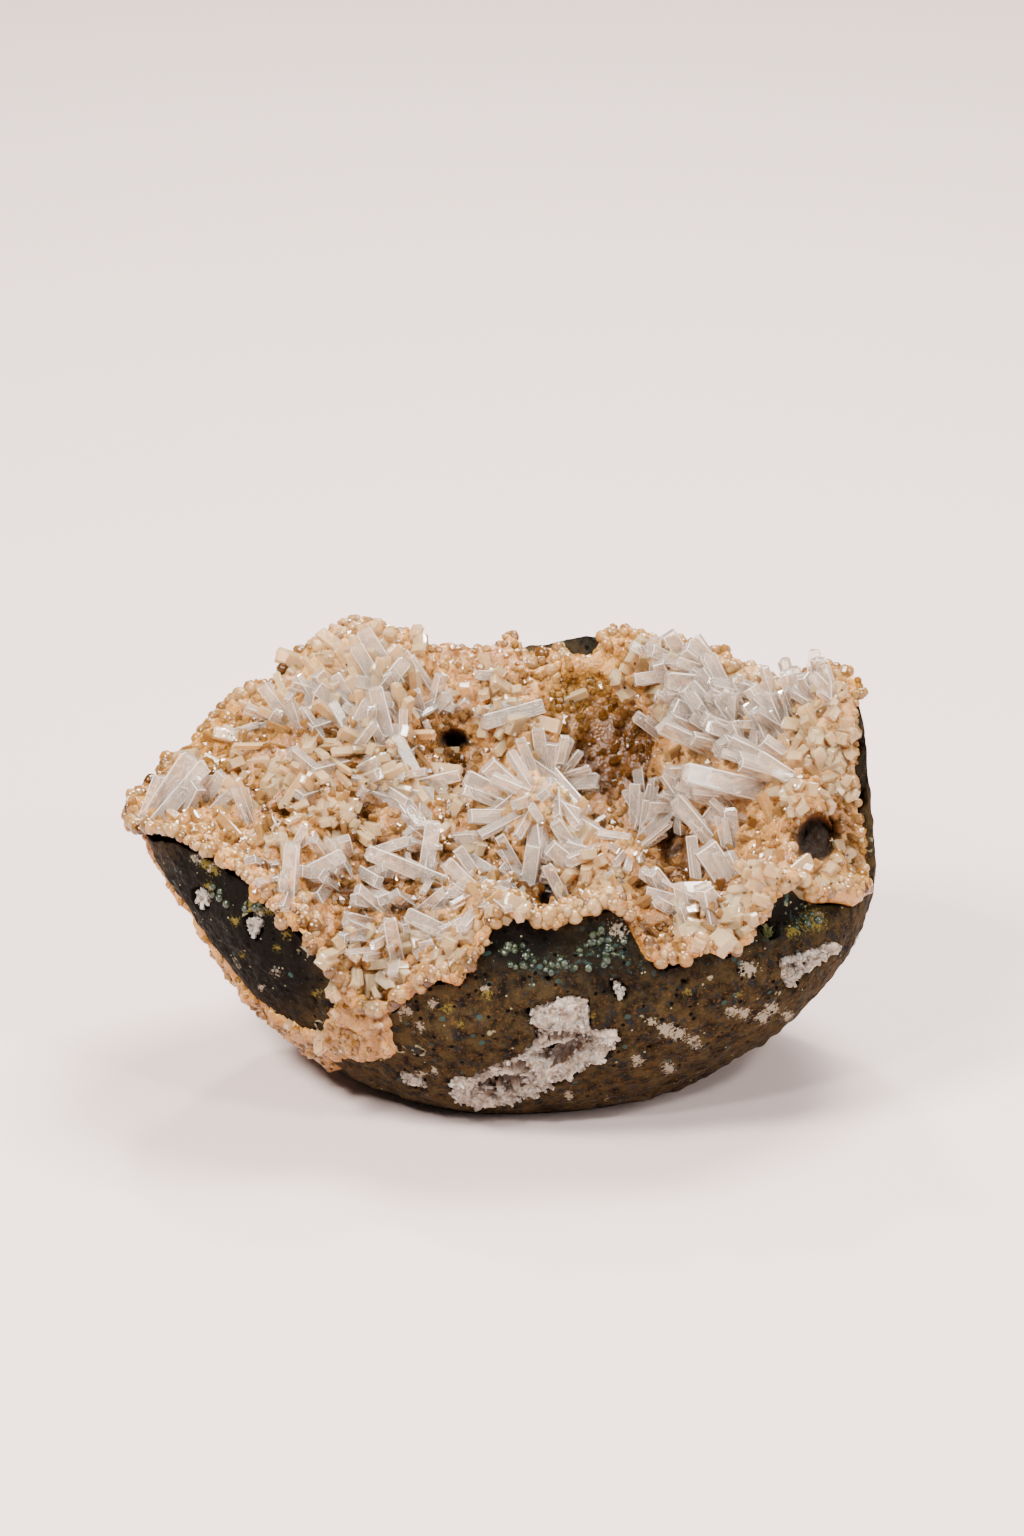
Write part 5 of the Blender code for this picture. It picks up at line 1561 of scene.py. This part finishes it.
@dataclass
class DruseGrains:
    """Small crystals that stand out of the crust: faceted grains, prisms, and knobs on its lip.

    Each of hole_limit, steepest and clear_of_stone is for the grains, then for the prisms.
    """

    seed: int = 5
    count: int = 8200
    sizes: Pair = (0.7, 1.7)
    slimness: float = 0.8
    hole_limit: Pair = (0.12, 0.02)
    steepest: Pair = (-0.7, 0.7)
    clear_of_stone: Pair = (0.25, 3.0)
    shade: float = 0.45
    prisms: int = 420
    prism_sizes: Pair = (0.8, 1.7)
    prism_slimness: float = 2.6
    prisms_end: float = 19.0
    knobs: int = 900
    knob_sizes: Pair = (0.7, 2.4)
    knobs_on_lip: float = 0.55
    knob_share: Pair = (0.86, 1.0)

    def build(self, crust: CrystalCrust, stone: BasaltStone) -> list[bpy.types.Object]:
        """Scatter the grains and then the longer prisms over the crust, and set the knobs."""
        pick = random.Random(self.seed)
        mesh = crust.body.data
        faceted = NodulePattern()
        slanted = BladePattern(Tip.SLANTED, section=0.62, edge=0.14)
        areas = np.array([f.area for f in mesh.polygons])
        rng = np.random.default_rng(self.seed)
        # The crystals take over the crust's layers, with the shade painted into its recesses, crevices
        # and holes.
        layers = {key: self.layer(mesh, key) for key in ("rust_tint_and_shade", "pale", "edge", "hole")}
        grains = CrystalBatch("heulandite_grains")
        prisms = CrystalBatch("heulandite_prisms")
        chosen = rng.choice(len(areas), size=len(areas) // 2, p=areas / areas.sum())
        for index in chosen:
            face = mesh.polygons[index]
            pick.seed(int(index))
            place = face.center / MM
            full = len(grains.points) >= self.count
            if face.normal.z < self.steepest[full]:
                continue
            if CrystalCrust.gap(stone.tree, place) < self.clear_of_stone[full]:
                continue
            if full and place.y > self.prisms_end:
                continue
            tone = self.tone_at(face, layers)
            if tone["hole"] > self.hole_limit[full]:
                continue
            tone["rust_tint_and_shade"] += self.shade * pick.random() ** 2
            tone["pale"] += 0.5 * self.shade * pick.random()
            if not full:
                grow_out(grains, pick, faceted, place, face.normal, self.sizes, self.slimness, **tone)
            elif len(prisms.points) < self.prisms:
                grow_out(prisms, pick, slanted, place, face.normal, self.prism_sizes,
                         self.prism_slimness, **tone)
            else:
                break
        knobs = CrystalBatch("heulandite_knobs", smooth=True)
        self.grow_knobs(knobs, pick, crust, layers)
        return [grains.finish(), prisms.finish(), knobs.finish()]

    def grow_knobs(self, batch: CrystalBatch, pick: random.Random, crust: CrystalCrust,
                   layers: dict[str, np.ndarray]) -> None:
        """Set rounded knobs along the crust's lip and just inside it."""
        knob = NodulePattern(rounded=True)
        for number in range(self.knobs):
            pick.seed(number)
            azimuth = pick.uniform(0, 360)
            if pick.random() < self.knobs_on_lip:
                rough = crust.lip_front(azimuth, pick.random())
            else:
                rough = crust_point(azimuth, pick.uniform(*self.knob_share))
            place, normal, index, _ = crust.tree.find_nearest(rough)
            tone = self.tone_at(crust.body.data.polygons[index], layers)
            tone["rust_tint_and_shade"] += 2 * self.shade * pick.random() ** 2
            tone["pale"] += self.shade * pick.random()
            if tone["hole"] < self.hole_limit[0]:
                grow_out(batch, pick, knob, place, normal, self.knob_sizes, self.slimness, **tone)

    @staticmethod
    def tone_at(face: bpy.types.MeshPolygon, layers: dict[str, np.ndarray]) -> dict[str, float]:
        """What the crust's layers hold at a face."""
        return {key: float(values[list(face.vertices)].mean()) for key, values in layers.items()}

    @staticmethod
    def layer(mesh: bpy.types.Mesh, name: str) -> np.ndarray:
        """Read a number that a mesh holds for each point."""
        values = np.empty(len(mesh.vertices), dtype=np.float32)
        mesh.attributes[name].data.foreach_get("value", values)
        return values

    @staticmethod
    def dress(pieces: Sequence[bpy.types.Object]) -> None:
        """Finish the crystals, clearer than the crust they stand on."""
        faceted = CLEAR_HEULANDITE.material()
        rounded = ROUNDED_HEULANDITE.material()
        for piece in pieces:
            finish = rounded if piece.name.endswith("knobs") else faceted
            dress(piece, [finish], "heulandite", "crystal_crust")


# Outlines, as seen, of the fillings that have a pocket in the stone
FILLINGS: dict[str, tuple[Pair, ...]] = {
    "front_vug_lining": ((3.1, 7.5), (9.4, 9.3), (11.5, 9.0), (11.9, 4.9), (15.6, 4.8), (15.2, 2.6),
                         (13.2, 0.6), (9.6, -1.3), (5.0, -3.6), (1.0, -5.2), (-3.2, -6.0),
                         (-6.6, -4.6), (-7.0, -1.8), (-4.0, -1.4), (-0.2, 0.4), (2.6, 1.6),
                         (4.6, 3.6), (4.4, 5.6)),
    "right_vug_lining": ((37.0, 14.2), (40.5, 15.2), (44.4, 16.6), (45.4, 15.6), (43.0, 13.6),
                         (40.6, 12.2), (38.4, 9.9), (37.2, 11.6)),
    "left_vug_lining": ((-41.2, 23.4), (-39.8, 23.8), (-38.8, 22.6), (-39.2, 20.8), (-40.4, 20.6),
                        (-41.3, 21.8)),
    "shoulder_vug_lining": ((-34.2, 20.0), (-33.0, 20.4), (-31.6, 19.2), (-31.8, 18.0),
                            (-32.8, 16.6), (-33.8, 17.0), (-34.2, 18.4)),
    "low_vug_lining": ((-14.2, -1.0), (-12.4, -0.8), (-10.4, -1.8), (-9.8, -3.4), (-11.6, -3.2),
                       (-13.4, -2.2)),
    "green_filling": ((34.2, 18.9), (35.2, 19.5), (36.4, 18.8), (36.9, 17.4), (35.8, 16.9),
                      (34.6, 17.6)),
    "top_patch_lining": ((14.4, 11.6), (15.6, 11.2), (16.8, 10.2), (16.4, 8.6), (15.4, 9.0),
                         (14.6, 10.2)),
}


@dataclass
class BubbleLinings:
    """The fine crystals that line the stone's larger bubbles, and the green ones beside them."""

    voxel: float = 0.22
    ridges: tuple[Pair, ...] = ((0.8, 0.45), (2.0, 0.5))
    crystals: Pair = (1.0, 0.4)
    stains: Pair = (1.4, 1.6)
    raised: tuple[str, ...] = ("front_vug_lining", "right_vug_lining")
    hollows: tuple[Zone, ...] = (
        Zone(6.4, 2.0, 1.9, 1.6), Zone(8.4, 2.2, 1.8, 1.4), Zone(-2.0, -2.7, 1.6, 1.5),
        Zone(0.3, -2.0, 1.8, 1.5), Zone(2.4, -1.2, 1.3, 1.2), Zone(39.8, 13.2, 1.6, 0.8),
        Zone(10.8, 2.8, 1.2, 0.7),
    )
    hollow_depth: float = 2.3
    sunk: float = 0.55
    green_patches: tuple[Zone, ...] = (
        Zone(3.4, 14.4, 2.0, 16), Zone(13.6, 15.8, 3.0, 38), Zone(7.8, 13.4, 2.2, 10),
        Zone(0.6, 15.8, 1.3, 9), Zone(23.0, 15.0, 1.8, 12), Zone(30.5, 16.8, 1.5, 10),
        Zone(40.5, 19.8, 1.8, 12), Zone(-37.5, 23.0, 1.6, 7), Zone(-33.0, 21.0, 1.2, 6),
    )
    knob_sizes: Pair = (0.4, 1.5)
    knob_slimness: float = 0.7
    stray: float = 1.3
    stray_size: float = 1.3
    seed: int = 3
    grain_share: float = 0.06
    grain_sizes: Pair = (0.25, 0.6)

    def build(self, stone: BasaltStone) -> None:
        """Model and finish every lining, then the small crystals on them and beside them."""
        white = []
        for node in [*FILLINGS, "edge_vug_lining"]:
            lining = self.build_lining(node)
            if node == "green_filling":
                dress(lining, [OLIVE_FILLING.material()], "celadonite", node)
            else:
                dress(lining, [WHITE_QUARTZ.material()], "quartz", node)
                white.append(lining)
        dress(self.grow_grains(white), [CLEAR_QUARTZ.material()], "quartz", "front_vug_lining")
        dress(self.grow_green(stone), [GREEN_CELADONITE.material()], "celadonite", "green_filling")

    def build_lining(self, node: str) -> bpy.types.Object:
        """Model one lining over the solid of its node."""
        source = bpy.data.objects[node]
        mesh = source.data.copy()
        lining = add_object(node.replace("_lining", "_crystals") + "_fine", mesh)
        apply_modifier(lining, "merged", "WELD", merge_threshold=1e-6)
        apply_modifier(lining, "even faces", "REMESH", mode="VOXEL", voxel_size=self.voxel * MM)
        mesh = lining.data
        points, normals = points_of(mesh), normals_of(mesh)
        heights = np.array([lumps(p, self.ridges) + crystal_faces(Vector(p), *self.crystals)
                            for p in points])
        strays = np.array([noise.noise_vector(Vector(p) / self.stray_size) for p in points])
        strays *= self.stray
        deep_shade_and_stain = np.clip(zone_sum(self.hollows, points + strays), 0, 1)
        deep_shade_and_stain *= normals @ np.array(TO_EYE) > -0.2
        heights -= self.hollow_depth * deep_shade_and_stain
        if node not in self.raised:
            heights -= self.sunk
        set_points(mesh, points + normals * heights[:, None])
        stains = np.array([lumps(p, (self.stains,)) for p in points])
        # Painted shade: the hollows darkened by their depth; the stains added here are real.
        set_layer(mesh, "deep_shade_and_stain", deep_shade_and_stain * 1.9 - 0.4 + np.clip(stains - 0.35, 0, 0.5))
        shade(lining, False)
        return lining

    def grow_grains(self, linings: Sequence[bpy.types.Object]) -> bpy.types.Object:
        """Scatter small quartz crystals over the linings, as one piece."""
        pick = random.Random(self.seed)
        pattern = BladePattern(Tip.SLANTED, section=0.85, edge=0.0)
        batch = CrystalBatch("quartz_grains")
        for lining in linings:
            faces = [f for f in lining.data.polygons if f.normal.dot(TO_EYE) > -0.3]
            for face in pick.sample(faces, int(len(faces) * self.grain_share)):
                width = pick.uniform(*self.grain_sizes)
                stray = Vector([pick.gauss(0, 0.5) for _ in range(3)])
                direction = (face.normal + stray).normalized()
                local = pattern.sized(width * pick.uniform(1.2, 2.4), width, 0.1)
                start = face.center / MM - direction * width
                batch.grow(local, pattern, facing(direction, pick.uniform(0, 180)), start)
        return batch.finish()

    def grow_green(self, stone: BasaltStone) -> bpy.types.Object:
        """Set small rounded green crystals on the stone, as one piece."""
        pick = random.Random(self.seed)
        knob = NodulePattern(rounded=True)
        batch = CrystalBatch("celadonite_knobs", smooth=True)
        for patch in self.green_patches:
            for _ in range(int(patch.strength)):
                seen = (pick.gauss(patch.across, 0.6 * patch.radius),
                        pick.gauss(patch.up, 0.4 * patch.radius))
                place, normal = seen_on(stone.tree, seen)
                if place is not None:
                    grow_out(batch, pick, knob, place, normal, self.knob_sizes, self.knob_slimness)
        return batch.finish()


@dataclass
class Studio:
    """Pale floor, soft lights and the camera at the photograph's angle."""

    distance: float = 2500.0
    frame_height: float = 207.0
    sensor: float = 36.0
    aim: Pair = (1.35, 39.6)
    lights: tuple[tuple[str, Triple, float, float, Triple], ...] = (
        ("key", (-300, -260, 480), 150, 9.0, (1.0, 0.97, 0.94)),
        ("fill", (420, -320, 260), 200, 2.0, (1.0, 0.98, 0.96)),
        ("top", (120, 200, 560), 260, 9.0, (1.0, 0.98, 0.97)),
        ("left glint", (-180, -430, 420), 50, 2.2, (1.0, 0.98, 0.96)),
        ("right glint", (270, -330, 400), 50, 2.2, (1.0, 0.98, 0.96)),
        ("back glint", (-60, 400, 430), 50, 2.2, (1.0, 0.98, 0.96)),
    )
    air: Triple = (1.0, 0.955, 0.93)
    air_strength: float = 0.14

    def build(self) -> None:
        """Set the stage."""
        self.add_floor()
        self.add_camera()
        for light in self.lights:
            self.add_light(*light)
        world = bpy.data.worlds.new("studio")
        bpy.context.scene.world = world
        world.use_nodes = True
        background = world.node_tree.nodes["Background"]
        background.inputs["Color"].default_value = (*self.air, 1.0)
        background.inputs["Strength"].default_value = self.air_strength

    def add_floor(self) -> None:
        """Lay the floor under the stone."""
        bpy.ops.object.select_all(action="DESELECT")
        bpy.ops.mesh.primitive_plane_add(size=8.0, location=(0, 0, 0))
        floor = bpy.context.active_object
        floor.name = "floor"
        floor.data.materials.append(FloorFinish().material())

    def add_camera(self) -> None:
        """Aim a long lens down at the stone."""
        data = bpy.data.cameras.new("camera")
        data.sensor_width = self.sensor
        data.lens = self.sensor * self.distance / self.frame_height
        data.clip_end = 20.0
        camera = add_object("camera", data)
        across, up = self.aim
        target = Vector((across, up * SIGHT_SIN, up * SIGHT_COS))
        camera.location = (target + TO_EYE * self.distance) * MM
        camera.rotation_euler = (-TO_EYE).to_track_quat("-Z", "Y").to_euler()
        bpy.context.scene.camera = camera

    def add_light(self, name: str, place: Triple, size: float, power: float,
                  colour: Triple) -> None:
        """Hang a square soft light that faces the stone."""
        data = bpy.data.lights.new(name, "AREA")
        data.size = size * MM
        data.energy = power
        data.color = colour
        light = add_object(name, data)
        light.location = Vector(place) * MM
        towards = Vector((0, 0, 30)) - Vector(place)
        light.rotation_euler = towards.to_track_quat("-Z", "Y").to_euler()


def main() -> None:
    """Dress the frame: stone, crust, blades, grains, linings and studio, in that order."""
    noise.seed_set(NOISE_SEED)
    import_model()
    stone = BasaltStone()
    stone.build(list(FILLINGS.values()))
    stone.dress()
    crust = CrystalCrust()
    crust.build(stone)
    crust.dress(CrustFinish().material())
    blades = CalciteBlades()
    blades.dress(blades.build(crust))
    grains = DruseGrains()
    grains.dress(grains.build(crust, stone))
    BubbleLinings().build(stone)
    Studio().build()


if __name__ == "__main__":
    main()
